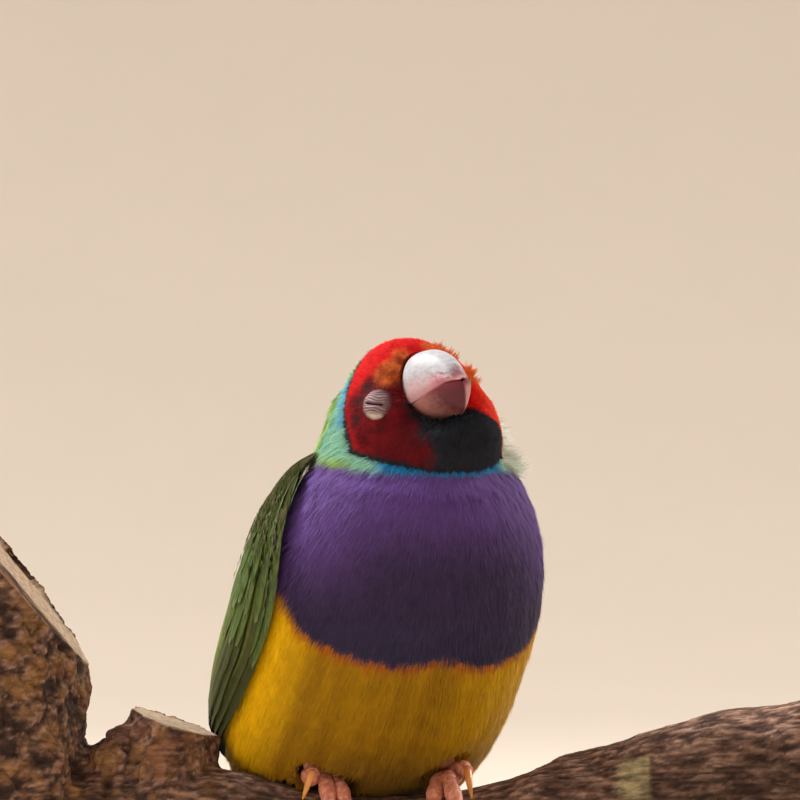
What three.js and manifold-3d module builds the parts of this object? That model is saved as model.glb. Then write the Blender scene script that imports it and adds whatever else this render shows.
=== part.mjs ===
// A Gouldian finch asleep on a gnarled branch, life size, held up by a plain display stand.
// Millimetres, +Z up. The origin is the middle of the base's underside. The bird looks towards -Y
// and a little towards +X, and the branch runs along X.
import * as THREE from "three";
import { mergeVertices } from "three/addons/utils/BufferGeometryUtils.js";
import Module from "manifold-3d";

const wasm = await Module();
wasm.setup();

const GAP = 0.32; // left between neighbouring pieces
const RAD = Math.PI / 180;

// Driving sizes of the bird. f is forward, r to the bird's right, u up, all from the point P
// on top of the branch below the bird.
const BODY_YAW = 25 * RAD; // how far the breast turns from -Y towards +X
const HEAD_YAW = 27 * RAD;
const HEAD_PITCH = 13 * RAD; // bill above the horizon
const HEAD_ROLL = 10 * RAD; // right cheek down
const HEAD_AT = { f: 12.5, u: 51.8 };

// The trunk from the neck's root to the end of the tail coverts: the spine's place (f, u), half
// width, and depth to the belly's side and to the back's side, at even steps.
const TRUNK = {
  f: [9.6, 9.2, 7.9, 5.0, 0.2, -5.3, -11.3, -17.3, -23.0, -28.0],
  u: [47.5, 43.5, 36.5, 28.0, 20.3, 12.5, 4.8, -3.0, -10.5, -17.3],
  wide: [11.0, 15.0, 18.9, 20.6, 20.7, 20.6, 19.2, 13.6, 7.8, 4.4],
  front: [11.0, 14.8, 16.8, 17.3, 17.3, 15.8, 12.4, 9.0, 5.2, 2.8],
  back: [11.0, 12.8, 13.6, 14.0, 14.0, 13.0, 11.5, 8.8, 5.6, 3.0],
};
const TRUNK_END = 0.85; // where the torso ends and the tail coverts begin

// The collar's rings: height, radius, place forward, and how much lower each is in front than
// behind, for each millimetre.
const COLLAR = {
  u: [39.5, 42.0, 44.0, 46.4, 49.2, 52.0, 54.2, 55.8],
  r: [14.6, 14.7, 14.4, 13.0, 11.6, 10.5, 9.2, 7.0],
  f: [8.8, 8.8, 8.7, 8.4, 7.5, 7.0, 7.0, 7.4],
  dip: [0.1, 0.1, 0.1, 0.14, 0.2, 0.22, 0.22, 0.22],
};
const COLLAR_CUT = { u: 45.3, fall: 0.145 }; // where it meets the torso, and its fall forwards

// The head from nape to chin: place forward, middle, half width, height up and down, in the
// head's own directions from its centre.
const HEAD = {
  f: [-14.2, -12.8, -9.6, -5.6, -1.8, 1.4, 3.6, 5.1, 6.6, 8.4, 10.1, 11.0],
  mid: [1.6, 1.5, 1.0, 0.5, 0.0, -0.2, -0.6, -1.5, -3.3, -4.3, -4.8, -5.1],
  wide: [1.6, 5.4, 8.6, 11.0, 11.5, 10.2, 8.9, 7.9, 7.0, 5.6, 4.0, 2.2],
  up: [1.6, 5.2, 8.6, 10.9, 11.4, 10.6, 8.9, 6.8, 2.7, 2.4, 2.1, 1.2],
  down: [1.6, 5.4, 8.6, 10.8, 11.3, 11.0, 10.2, 9.0, 7.0, 5.2, 3.6, 2.0],
  cheek: 0.86, // how square the lower half is
  jowl: 0.27, // how much wider below than above
};
const EYE = { f: 1.9, r: 7.1, leftIn: 1.2, u: 2.1, ball: 1.75, lidThick: 0.55, slit: 0.42 };

// The bill. The cutting edge runs from the gape to the tip. The upper half's numbers are at even
// steps to its tip. The lower half's are closer together at its blunt end, on a sine's rise.
const BILL = { base: 2.2, tip: 13.3, lowTip: 12.8, at: 1.85 };
const EDGE = [-0.9, -0.9, -0.8, -0.5, -0.1, 0.15, 0.0]; // the cutting edge's height
const UPPER = {
  ridge: [5.7, 6.0, 5.9, 5.3, 4.3, 2.7, 0.35],
  wide: [3.4, 4.5, 4.2, 3.5, 2.6, 1.6, 0.3],
  round: 0.9,
};
const LOWER = {
  ridge: [-4.4, -4.75, -4.7, -4.4, -3.6, -1.8, -0.4],
  wide: [3.3, 4.2, 3.7, 2.8, 1.95, 1.1, 0.35],
  round: 1.2,
};

// The tail: length of each pair from the middle one out, and how it lies.
const TAIL = { lengths: [50, 41, 37, 33, 29], wide: 5.6, slope: 0.62, root: 6 };

// The branch: where it is cut, its top line, radius and set back, at even steps along X.
const BRANCH = {
  left: -57.5,
  right: 60,
  top: [4.0, 4.5, 4.6, 3.2, 0.2, -0.8, 0.2, 3.9, 7.5, 10.6, 13.2],
  radius: [13.5, 12.5, 10.8, 9.3, 8.5, 8.2, 8.3, 8.5, 8.8, 9.2, 9.7],
  y: [1.0, 0.8, 0.6, 0.3, 0.0, 0.0, 0.0, 0.3, 0.8, 1.2, 1.5],
};
const KNOB = { x: -32, lean: 3.2, foot: -8, top: 14, wideFoot: 9.2, wideTop: 5.6 };
const KNOB_CUT = { x: -34.7, u: 11.1, slope: -18 * RAD, toFront: 0.07 };
const STUMP = { x: -55.5, lean: 2.5, foot: -16, top: 36, wide: 13.4, wideTop: 12.6 };
const STUMP_CUT = { x: -41.4, u: 18.0, slope: -50 * RAD, toFront: 0.1 };

// The stand.
const BASE = { long: 100, wide: 72, thick: 7, corner: 14, bevel: 1.2 };
const ROD = { radius: 2, xs: [-26, 26] };
const TAIL_CLEARANCE = 4; // of the tail's tip above the base

const clamp = THREE.MathUtils.clamp;
const lerp = THREE.MathUtils.lerp;

// Value at t, from 0 to 1, on a smooth line through evenly spaced knots.
function smoothAt(knots, t) {
  const last = knots.length - 1;
  const x = clamp(t, 0, 1) * last;
  const i = Math.min(Math.floor(x), last - 1);
  const w = x - i;
  const [a, b, c, d] = [Math.max(i - 1, 0), i, i + 1, Math.min(i + 2, last)].map((k) => knots[k]);
  const bend = (2 * a - 5 * b + 4 * c - d) * w + (3 * b - a - 3 * c + d) * w * w;
  return 0.5 * (2 * b + (c - a) * w + bend * w);
}

// A signed power, which makes a round section squarer for k below 1.
function power(value, k) {
  return Math.sign(value) * Math.abs(value) ** k;
}

function steps(count) {
  return Array.from({ length: count + 1 }, (_, i) => i / count);
}

const tailDrop =
  -TRUNK.u.at(-2) + (TAIL.lengths[0] + TAIL.root) * Math.cos(TAIL.slope) - TAIL.root * 0.4;
const perchTop = BASE.thick + TAIL_CLEARANCE + tailDrop;
const P = new THREE.Vector3(0, 0, perchTop);
const FORWARD = new THREE.Vector3(Math.sin(BODY_YAW), -Math.cos(BODY_YAW), 0);
const RIGHT = new THREE.Vector3(-Math.cos(BODY_YAW), -Math.sin(BODY_YAW), 0);

function bodyPoint(f, r, u) {
  return P.clone()
    .addScaledVector(FORWARD, f)
    .addScaledVector(RIGHT, r)
    .add(new THREE.Vector3(0, 0, u));
}

// The head's directions: yaw, then pitch, then roll.
const headForward = new THREE.Vector3(
  Math.sin(HEAD_YAW) * Math.cos(HEAD_PITCH),
  -Math.cos(HEAD_YAW) * Math.cos(HEAD_PITCH),
  Math.sin(HEAD_PITCH),
);
const headRight = new THREE.Vector3(-Math.cos(HEAD_YAW), -Math.sin(HEAD_YAW), 0).applyAxisAngle(
  headForward,
  HEAD_ROLL,
);
const headUp = new THREE.Vector3().crossVectors(headRight, headForward);
const headCentre = bodyPoint(HEAD_AT.f, 0, HEAD_AT.u);

function headPoint(f, r, u) {
  return headCentre
    .clone()
    .addScaledVector(headForward, f)
    .addScaledVector(headRight, r)
    .addScaledVector(headUp, u);
}

// A closed mesh from rings of points, each end closed to its ring's middle. A thin piece gives
// mirrored = true, so that both its faces are split into triangles alike.
function loft(rings, mirrored = false) {
  const n = rings[0].length;
  const points = rings.flat();
  const index = [];
  for (let i = 0; i + 1 < rings.length; i++) {
    for (let j = 0; j < n; j++) {
      const a = i * n + j;
      const b = i * n + ((j + 1) % n);
      const [c, d] = [a + n, b + n];
      if (mirrored && j >= n / 2) index.push(a, b, c, b, d, c);
      else index.push(a, b, d, a, d, c);
    }
  }
  [0, rings.length - 1].forEach((r) => {
    const middle = rings[r]
      .reduce((sum, p) => sum.add(p), new THREE.Vector3())
      .divideScalar(n);
    points.push(middle);
    for (let j = 0; j < n; j++) {
      const edge = [r * n + j, r * n + ((j + 1) % n)];
      if (r > 0) edge.reverse();
      index.push(points.length - 1, edge[1], edge[0]);
    }
  });
  const geometry = new THREE.BufferGeometry().setFromPoints(points);
  geometry.setIndex(index);
  return geometry;
}

// A geometry as a solid whose faces point out.
function solid(geometry) {
  const bare = geometry.clone();
  Object.keys(bare.attributes)
    .filter((name) => name !== "position")
    .forEach((name) => bare.deleteAttribute(name));
  const merged = mergeVertices(bare, 1e-4);
  const make = (triVerts) =>
    new wasm.Manifold(
      new wasm.Mesh({
        numProp: 3,
        vertProperties: new Float32Array(merged.attributes.position.array),
        triVerts,
      }),
    );
  const triVerts = new Uint32Array(merged.index.array);
  const made = make(triVerts);
  return made.volume() > 0 ? made : make(triVerts.reverse());
}

function union(solids) {
  return solids.reduce((sum, s) => sum.add(s));
}

// The largest closed surface of a solid, as a named mesh of one material.
function piece(name, shape, material) {
  const whole = shape.decompose().reduce((a, b) => (a.volume() > b.volume() ? a : b));
  const made = whole.getMesh();
  const xyz = new Float32Array(made.numVert * 3);
  for (let i = 0; i < made.numVert; i++) {
    const at = i * made.numProp;
    xyz.set(made.vertProperties.subarray(at, at + 3), i * 3);
  }
  const geometry = new THREE.BufferGeometry();
  geometry.setAttribute("position", new THREE.BufferAttribute(xyz, 3));
  geometry.setIndex(new THREE.BufferAttribute(made.triVerts, 1));
  geometry.computeVertexNormals();
  const mesh = new THREE.Mesh(geometry, material);
  mesh.name = name;
  return mesh;
}

function finish(color, roughness, metalness = 0) {
  return new THREE.MeshStandardMaterial({ color, roughness, metalness });
}

const finishes = {
  head: finish(0xb3141c, 0.85),
  collar: finish(0x2f93b8, 0.8),
  torso: finish(0x5a3a86, 0.85),
  wing: finish(0x4c7a2f, 0.7),
  tail: finish(0x16161a, 0.6),
  bill: finish(0xe9dfe0, 0.4),
  lid: finish(0x2a1c1c, 0.3),
  foot: finish(0xd99a80, 0.6),
  bark: finish(0x6b4c3b, 0.9),
  base: finish(0x2c2622, 0.5),
  rod: finish(0x8f8f92, 0.35, 1),
};

// The trunk

// Middle of the trunk, its way on and its belly's side at s, from 0 at the neck to 1.
function trunkFrame(s) {
  const at = (t) => [smoothAt(TRUNK.f, t), smoothAt(TRUNK.u, t)];
  const [f, u] = at(s);
  const [f0, u0] = at(s - 0.02);
  const [f1, u1] = at(s + 0.02);
  const length = Math.hypot(f1 - f0, u1 - u0);
  const way = [(f1 - f0) / length, (u1 - u0) / length];
  return { f, u, way, front: [-way[1], way[0]] };
}

// A point on the trunk, h above its surface. angle is 0 at the belly's midline, 90 degrees at the
// bird's right side and 180 degrees at the back's midline.
function trunkPoint(s, angle, h = 0) {
  const { f, u, front } = trunkFrame(s);
  const across = (smoothAt(TRUNK.wide, s) + h) * Math.sin(angle);
  const depth = Math.cos(angle) > 0 ? TRUNK.front : TRUNK.back;
  const along = (smoothAt(depth, s) + h) * Math.cos(angle);
  return bodyPoint(f + front[0] * along, across, u + front[1] * along);
}

function trunkPart(from, to, rows, grow = 0) {
  const sides = 28;
  const rings = steps(rows).map((t) =>
    steps(sides)
      .slice(1)
      .map((a) => trunkPoint(lerp(from, to, t), a * 2 * Math.PI, grow)),
  );
  return solid(loft(rings));
}

// The collar

function collarSolid(grow) {
  const rows = 10;
  const sides = 26;
  const rings = steps(rows).map((t) => {
    const middle = smoothAt(COLLAR.f, t);
    const radius = smoothAt(COLLAR.r, t) + grow;
    const level = smoothAt(COLLAR.u, t) + grow * (2 * t - 1);
    const dip = smoothAt(COLLAR.dip, t);
    return steps(sides)
      .slice(1)
      .map((a) => {
        const angle = a * 2 * Math.PI;
        const ahead = radius * Math.cos(angle);
        return bodyPoint(middle + ahead, radius * Math.sin(angle), level - dip * ahead);
      });
  });
  return solid(loft(rings));
}

// The head

function headSolid(grow) {
  const rows = 14;
  const sides = 24;
  const rings = steps(rows).map((t) => {
    const at = smoothAt(HEAD.f, t) + grow * (2 * t - 1);
    const middle = smoothAt(HEAD.mid, t);
    const wide = smoothAt(HEAD.wide, t) + grow;
    const full = (angle) => (Math.cos(angle) > 0 ? 1 : HEAD.cheek);
    return steps(sides)
      .slice(1)
      .map((a) => {
        const angle = a * 2 * Math.PI;
        const height = smoothAt(Math.cos(angle) > 0 ? HEAD.up : HEAD.down, t) + grow;
        const jowl = 1 - HEAD.jowl * Math.cos(angle);
        const across = wide * jowl * power(Math.sin(angle), full(angle));
        return headPoint(at, across, middle + height * power(Math.cos(angle), full(angle)));
      });
  });
  return solid(loft(rings));
}

function ball(centre, radius, detail = 2) {
  const geometry = new THREE.IcosahedronGeometry(radius, detail);
  return solid(geometry.translate(centre.x, centre.y, centre.z));
}

// The closed lids of one eye: a dome with a slit across it, and the ball that shows in the slit.
function eyeParts(side) {
  const apart = side > 0 ? EYE.r : EYE.r - EYE.leftIn;
  const centre = headPoint(EYE.f, side * apart, EYE.u);
  const out = headPoint(EYE.f + 0.9, side * (apart + 3.4), EYE.u + 0.3).sub(centre).normalize();
  const dome = ball(centre, EYE.ball + GAP + EYE.lidThick, 2);
  const socket = ball(centre, EYE.ball + GAP, 2);
  const slit = new THREE.BoxGeometry(3.7, EYE.slit, 3);
  slit.translate(0, 0, EYE.ball + 0.6);
  const turn = new THREE.Matrix4().makeBasis(
    new THREE.Vector3().crossVectors(headUp, out).normalize(),
    headUp.clone().addScaledVector(out, -headUp.dot(out)).normalize(),
    out,
  );
  slit.applyMatrix4(turn).translate(centre.x, centre.y, centre.z);
  return { dome, hollow: union([socket, solid(slit)]), ball: ball(centre, EYE.ball, 2) };
}

// The bill

// One half of the bill between its ridge and the cutting edge. sign is 1 for the upper half.
function billHalf(sign, grow) {
  const rows = 10;
  const arc = 9;
  const gape = 0.13 - grow;
  const half = sign > 0 ? UPPER : LOWER;
  const rings = steps(rows).map((t) => {
    const reach = sign > 0 ? t : Math.sin((t * Math.PI) / 2);
    const at = lerp(BILL.base, sign > 0 ? BILL.tip : BILL.lowTip, reach);
    const wide = smoothAt(half.wide, t) + grow;
    const ridge = smoothAt(half.ridge, t) + sign * grow;
    const edge = smoothAt(EDGE, (at - BILL.base) / (BILL.tip - BILL.base)) + sign * gape;
    return steps(arc).map((a) => {
      const angle = (a - 0.5) * Math.PI;
      const height = edge + (ridge - edge) * Math.cos(angle) ** half.round;
      const across = wide * power(Math.sin(angle), half.round - 0.05);
      return headPoint(at + grow * (2 * t - 1), across, BILL.at + height);
    });
  });
  return solid(loft(rings));
}

// Feathers

// A flat tapered vane along a line of points. lift is the outward direction at each point, wide
// its half widths, thick its thickness and roll its tilt about its own shaft.
function vane(points, lifts, wide, thick, roll = 0) {
  const rings = points.map((p, i) => {
    const next = points[Math.min(i + 1, points.length - 1)];
    const before = points[Math.max(i - 1, 0)];
    const way = next.clone().sub(before).normalize();
    const lift = lifts[i].clone().addScaledVector(way, -lifts[i].dot(way)).normalize();
    lift.applyAxisAngle(way, roll);
    const side = new THREE.Vector3().crossVectors(way, lift);
    const [half, depth] = [wide[i], Math.max(thick[i], 0.16) / 2];
    const corner = (across, up) =>
      p.clone().addScaledVector(side, across * half).addScaledVector(lift, up * depth);
    return [corner(-1, 1), corner(1, 1), corner(1, -1), corner(-1, -1)];
  });
  return solid(loft(rings, true));
}

// The half widths of a feather along its length, for a round or a pointed tip.
function featherWidths(wide, pointed, count) {
  return steps(count).map((t) => {
    const open = 0.72 + 0.28 * Math.sin(Math.PI * Math.min(t / 0.55, 1) * 0.5);
    const close = t < 0.55 ? 1 : Math.cos(((t - 0.55) / 0.45) * Math.PI * 0.5) ** pointed;
    return Math.max(0.5 * wide * open * close, 0.22);
  });
}

function featherThickness(thick, count) {
  return steps(count).map((t) => thick * (t < 0.8 ? 1 : 1 - 1.8 * (t - 0.8)));
}

// A feather that lies on the trunk from one place (s, angle in degrees, height) to another.
function bodyFeather(side, from, to, wide, thick, pointed, roll, count = 5) {
  const mix = (k, t) => lerp(from[k], to[k], t);
  const at = (t, h) => {
    const bow = (to[3] ?? 0) * Math.sin(Math.PI * t);
    return trunkPoint(mix(0, t), side * (mix(1, t) + bow) * RAD, mix(2, t) + h);
  };
  const points = steps(count).map((t) => at(t, 0));
  const lifts = steps(count).map((t) => at(t, 1).sub(at(t, 0)));
  const widths = featherWidths(wide, pointed, count);
  return vane(points, lifts, widths, featherThickness(thick, count), side * roll);
}

// The folded wing

// The wing's front edge as an angle round the trunk, at even steps from the shoulder to the tip.
const WING = {
  s: [0.11, 0.9],
  frontEdge: [66, 77, 83, 87, 95, 112, 138, 154],
  backEdge: [128, 150, 158, 160, 162, 165, 168, 170],
  thick: [0.7, 1.1, 1.5, 1.8, 1.8, 1.6, 1.2, 0.8],
  leftBack: 28, // how much further back the left wing's front edge is held
};

// The angles of the folded wing's two edges at a place along it.
function wingEdges(along, side) {
  const lo = smoothAt(WING.frontEdge, along) + (side < 0 ? WING.leftBack * (1 - along) : 0);
  return [lo, smoothAt(WING.backEdge, along)];
}

// The wing's body: a thin shell on the trunk from the shoulder down to where the quills part.
function wingCore(side) {
  const rows = 9;
  const across = 7;
  const end = 0.62;
  const rings = steps(rows).map((t) => {
    const along = t * end;
    const s = lerp(WING.s[0], WING.s[1], along);
    const round = Math.sin(Math.PI * clamp(0.12 + t * 1.2, 0, 0.5)) ** 0.6;
    const [lo, hi] = wingEdges(along, side);
    const [middle, half] = [(lo + hi) / 2, ((hi - lo) / 2) * round];
    const depth = smoothAt(WING.thick, along) * (t > 0.7 ? 1 - 0.9 * (t - 0.7) : 1);
    const outer = steps(across).map((a) => {
      const swell = Math.sin(Math.PI * lerp(0.08, 0.92, a)) ** 0.55;
      const angle = middle + half * (2 * a - 1);
      return trunkPoint(s, side * angle * RAD, GAP + 0.2 + depth * swell);
    });
    const inner = steps(across).map((a) => {
      const angle = middle + half * (1 - 2 * a);
      return trunkPoint(s, side * angle * RAD, GAP + 0.12);
    });
    return [...outer, ...inner];
  });
  return solid(loft(rings));
}

// Rows of feathers on the wing, from the lowest layer out: how many, root and tip along the wing,
// first and last place across it (0 at the front edge), height at root and tip, width, thickness.
const WING_ROWS = [
  { n: 5, root: [0.42, 0.48], tip: [1.0, 0.84], over: [0.3, 0.08], from: 0.7, to: 0.85, w: 4.8,
    point: 0.8, bow: -4, bends: 4 },
  { n: 5, root: [0.36, 0.42], tip: [0.74, 0.86], over: [0.14, 0.8], from: 1.1, to: 1.4, w: 6.2,
    point: 0.55, bow: -2, bends: 4 },
  { n: 3, root: [0.3, 0.34], tip: [0.72, 0.62], over: [0.74, 0.96], from: 1.4, to: 2.1, w: 6.4,
    point: 0.6, bow: 0, bends: 4 },
  { n: 5, root: [0.22, 0.26], tip: [0.48, 0.5], over: [0.1, 0.86], from: 1.2, to: 2.1, w: 6.6,
    point: 0.45, bow: 0, bends: 3 },
  { n: 5, root: [0.1, 0.12], tip: [0.3, 0.31], over: [0.12, 0.88], from: 0.9, to: 2.3, w: 6.4,
    point: 0.45, bow: 0, bends: 3 },
];

function wingFeathers(side) {
  return WING_ROWS.flatMap((row) =>
    steps(row.n - 1).map((k) => {
      const place = (along, over) => {
        const [lo, hi] = wingEdges(along, side);
        return [lerp(WING.s[0], WING.s[1], along), lerp(lo, hi, over)];
      };
      const over = lerp(row.over[0], row.over[1], k);
      const tipAlong = lerp(row.tip[0], row.tip[1], k);
      const root = place(lerp(row.root[0], row.root[1], k), lerp(0.5, over, 0.86));
      const tip = place(tipAlong, over);
      const lift = row.from + GAP;
      return bodyFeather(
        side,
        [...root, lift],
        [...tip, row.to + GAP, row.bow],
        row.w,
        0.62,
        row.point,
        0.14,
        row.bends,
      );
    }),
  );
}

// The tail

const tailWay = [-Math.sin(TAIL.slope), -Math.cos(TAIL.slope)];
const tailBack = [tailWay[1], -tailWay[0]]; // towards the back's side, across the tail

function tailPoint(along, across, up) {
  const start = trunkFrame(TRUNK_END + 0.04);
  return bodyPoint(
    start.f + tailWay[0] * along + tailBack[0] * up,
    across,
    start.u + tailWay[1] * along + tailBack[1] * up,
  );
}

function tailFeathers() {
  return TAIL.lengths.flatMap((length, pair) =>
    [-1, 1].map((side) => {
      const count = pair === 0 ? 5 : 4;
      const spread = 0.8 + 0.75 * pair;
      const layer = 1.2 - 0.56 * pair + (side > 0 ? 0.12 : 0);
      const points = steps(count).map((t) => {
        const along = TAIL.root * 0.2 + length * t;
        return tailPoint(along, side * (0.35 + spread * t ** 0.8), layer * (1 - 0.25 * t));
      });
      const lifts = points.map(() => bodyPoint(tailBack[0], side * 0.12, tailBack[1]).sub(P));
      const narrow = pair === 0 ? 1.5 : 0.6;
      const widths = featherWidths(TAIL.wide * (pair === 0 ? 0.82 : 1), narrow, count);
      return vane(points, lifts, widths, featherThickness(0.6, count), side * 0.05);
    }),
  );
}

// The branch

function branchAt(x) {
  const t = (x - BRANCH.left) / (BRANCH.right - BRANCH.left);
  const radius = smoothAt(BRANCH.radius, t);
  return { radius, u: smoothAt(BRANCH.top, t) - radius, y: smoothAt(BRANCH.y, t) };
}

// How far the bark stands out of round, at x and angle. It is calm where the feet hold it.
function bark(x, angle) {
  const calm = clamp((Math.abs(x) - 15) / 10, 0.12, 1);
  const ripple =
    Math.sin(0.31 * x + 2.0 * Math.sin(angle)) * 0.35 +
    Math.sin(0.17 * x - 3 * angle + 1.3) * 0.32 +
    Math.sin(0.53 * x + 2 * angle) * 0.22;
  return ripple * calm;
}

// A point h above the bark. angle is 0 on top and 90 degrees at the front, towards -Y.
function branchPoint(x, angle, h = 0) {
  const { u, y, radius } = branchAt(x);
  const ahead = branchAt(x + 0.5);
  const lean = (ahead.u - u) / 0.5;
  const reach = radius + bark(x, angle) + h;
  const up = reach * Math.cos(angle);
  const norm = Math.hypot(1, lean);
  return P.clone().add(
    new THREE.Vector3(x - (up * lean) / norm, y - reach * Math.sin(angle), u + up / norm),
  );
}

function tube(centreAt, radiusAt, rows, sides, rough = 0) {
  const rings = steps(rows).map((t) => {
    const c = centreAt(t);
    return steps(sides)
      .slice(1)
      .map((a) => {
        const angle = a * 2 * Math.PI;
        const r = radiusAt(t) + rough * Math.sin(5 * angle + 7 * t) * Math.sin(9 * t + 2 * angle);
        return c.clone().add(new THREE.Vector3(r * Math.cos(angle), r * Math.sin(angle), 0));
      });
  });
  return solid(loft(rings));
}

// A saw cut: keeps what lies below a plane through a point of the branch's front view.
function saw(shape, cut) {
  const normal = new THREE.Vector3(-Math.sin(cut.slope), -cut.toFront, Math.cos(cut.slope));
  normal.normalize();
  const at = P.clone().add(new THREE.Vector3(cut.x, 0, cut.u));
  return shape.trimByPlane(normal.clone().negate().toArray(), -normal.dot(at));
}

function branchLimb(grow) {
  const rows = 32;
  const sides = 18;
  const rings = steps(rows).map((t) => {
    const x = lerp(BRANCH.left - grow, BRANCH.right + grow, t);
    return steps(sides)
      .slice(1)
      .map((a) => branchPoint(x, a * 2 * Math.PI, grow));
  });
  return solid(loft(rings));
}

function stub(size, rows, sides, rough) {
  const foot = P.clone().add(new THREE.Vector3(size.x, size.y ?? 0, size.foot));
  const top = P.clone().add(new THREE.Vector3(size.x + size.lean, size.y ?? 0, size.top));
  return tube(
    (t) => foot.clone().lerp(top, t),
    (t) => lerp(size.wideFoot ?? size.wide, size.wideTop, t),
    rows,
    sides,
    rough,
  );
}

function branchSolid() {
  const knob = saw(stub(KNOB, 5, 16, 0.8), KNOB_CUT);
  const stump = saw(stub(STUMP, 9, 20, 0.9), STUMP_CUT);
  const whole = union([branchLimb(0), knob, stump]);
  return whole.trimByPlane([1, 0, 0], P.x + BRANCH.left);
}

// The feet

// One toe of the bird's foot: a line on the branch (x, angle in degrees, extra height) with
// knuckles, and the claw that follows it. k is how far along the toe a point is.
function toeLine(line) {
  const xs = line.map((p) => p[0]);
  const angles = line.map((p) => p[1] * RAD);
  const lifts = line.map((p) => p[2]);
  return (t, h) =>
    branchPoint(smoothAt(xs, t), smoothAt(angles, t), GAP + h + smoothAt(lifts, t));
}

function roundTube(points, radii, sides) {
  const curve = new THREE.CatmullRomCurve3(points);
  const frames = curve.computeFrenetFrames(points.length - 1, false);
  const rings = points.map((p, i) =>
    steps(sides)
      .slice(1)
      .map((a) =>
        p
          .clone()
          .addScaledVector(frames.normals[i], radii[i] * Math.cos(a * 2 * Math.PI))
          .addScaledVector(frames.binormals[i], radii[i] * Math.sin(a * 2 * Math.PI)),
      ),
  );
  return solid(loft(rings));
}

// Toes of the right and the left foot: points (x, angle, lift) from the pad to the last joint,
// and the place (x, angle, lift) of the claw's tip.
const FEET = {
  right: {
    pad: [-9.6, -2],
    toes: [
      { line: [[-10.2, 2, 0.3], [-12.0, 17, 2.2], [-11.4, 34, 1.8]], claw: [-13.0, 54, 0.1] },
      { line: [[-9.4, 4, 0.2], [-8.7, 32, 0.7], [-7.6, 64, 0.1]], claw: [-7.2, 99, 0.1] },
      { line: [[-9.0, 2, 0.2], [-6.7, 24, 0.8], [-5.2, 52, 0.1]], claw: [-4.6, 84, 0.1] },
      { line: [[-9.6, -6, 0.2], [-9.7, -34, 0.3], [-9.8, -58, 0.1]], claw: [-9.9, -92, 0.1] },
    ],
  },
  left: {
    pad: [10.0, -4],
    toes: [
      { line: [[9.6, 0, 0.2], [7.8, 22, 0.5], [6.9, 50, 0.1]], claw: [6.4, 82, 0.1] },
      { line: [[10.0, 2, 0.2], [10.2, 28, 0.6], [11.2, 62, 0.1]], claw: [11.6, 98, 0.1] },
      { line: [[10.4, 0, 0.2], [12.4, 6, 1.3], [13.8, 16, 1.1]], claw: [13.4, 40, 0.1] },
      { line: [[10.0, -8, 0.2], [10.1, -36, 0.3], [10.2, -60, 0.1]], claw: [10.4, -94, 0.1] },
    ],
  },
};
const TOE_RADIUS = [1.35, 1.05];
const CLAW_RADIUS = [0.68, 0.2];

function toeSolid(toe, grow) {
  const rows = 6;
  const at = toeLine(toe.line);
  const radii = steps(rows).map((t) => {
    const knuckle = 1 + 0.1 * Math.cos(t * 6 * Math.PI);
    return lerp(TOE_RADIUS[0], TOE_RADIUS[1], t) * knuckle * (t === 1 ? 0.7 : 1) + grow;
  });
  const points = steps(rows).map((t, i) => at(t, radii[i] - grow));
  const last = toe.line.at(-1);
  const joint = toeLine([last, toe.claw]);
  const clawRows = 4;
  const clawRadii = steps(clawRows).map(
    (t) => lerp(CLAW_RADIUS[0], CLAW_RADIUS[1], t ** 0.8) + grow,
  );
  const clawPoints = steps(clawRows).map((t, i) => {
    const arch = 0.55 * Math.sin(Math.PI * Math.min(t + 0.15, 1));
    return joint(t * 0.98, clawRadii[i] - grow + lerp(0.35, 0, t) + arch);
  });
  if (grow === 0) return union([roundTube(points, radii, 7), roundTube(clawPoints, clawRadii, 5)]);
  const wider = (r) => r * 1.25;
  return union([
    roundTube(points, radii.map(wider), 5).hull(),
    roundTube(clawPoints, clawRadii.map(wider), 4).hull(),
  ]);
}

function footSolid(foot, grow = 0) {
  const pad = new THREE.IcosahedronGeometry(1, 1);
  pad.scale(1.9 + grow, 1.7 + grow, 1.25 + grow);
  const at = branchPoint(foot.pad[0], foot.pad[1] * RAD, GAP + 1.3);
  pad.translate(at.x, at.y, at.z);
  return union([solid(pad), ...foot.toes.map((toe) => toeSolid(toe, grow))]);
}

// The shank from the foot's pad up into the belly's feathers.
const SHANK = { long: 10.5, radius: [1.25, 0.95, 1.35], back: 2.2, inward: 0.8 };

function shankSolid(foot, side, grow = 0) {
  const rows = 5;
  const base = branchPoint(foot.pad[0], foot.pad[1] * RAD, GAP + 2.6);
  const ankle = base.clone().addScaledVector(FORWARD, -SHANK.back);
  ankle.addScaledVector(RIGHT, -side * SHANK.inward);
  ankle.z += SHANK.long;
  const points = steps(rows).map((t) => base.clone().lerp(ankle, t));
  const radii = steps(rows).map((t) => smoothAt(SHANK.radius, t) + grow);
  points[0].z -= grow;
  points.at(-1).z += grow;
  return roundTube(points, radii, 8);
}

// The stand

function baseSolid() {
  const [x, y, c] = [BASE.long / 2 - BASE.bevel, BASE.wide / 2 - BASE.bevel, BASE.corner];
  const outline = new THREE.Shape();
  outline.moveTo(-x + c, -y);
  outline.lineTo(x - c, -y).absarc(x - c, -y + c, c, -Math.PI / 2, 0);
  outline.lineTo(x, y - c).absarc(x - c, y - c, c, 0, Math.PI / 2);
  outline.lineTo(-x + c, y).absarc(-x + c, y - c, c, Math.PI / 2, Math.PI);
  outline.lineTo(-x, -y + c).absarc(-x + c, -y + c, c, Math.PI, 1.5 * Math.PI);
  const geometry = new THREE.ExtrudeGeometry(outline, {
    depth: BASE.thick - 2 * BASE.bevel,
    bevelThickness: BASE.bevel,
    bevelSize: BASE.bevel,
    bevelSegments: 1,
    curveSegments: 5,
  });
  return solid(geometry.translate(0, 0, BASE.bevel));
}

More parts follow.
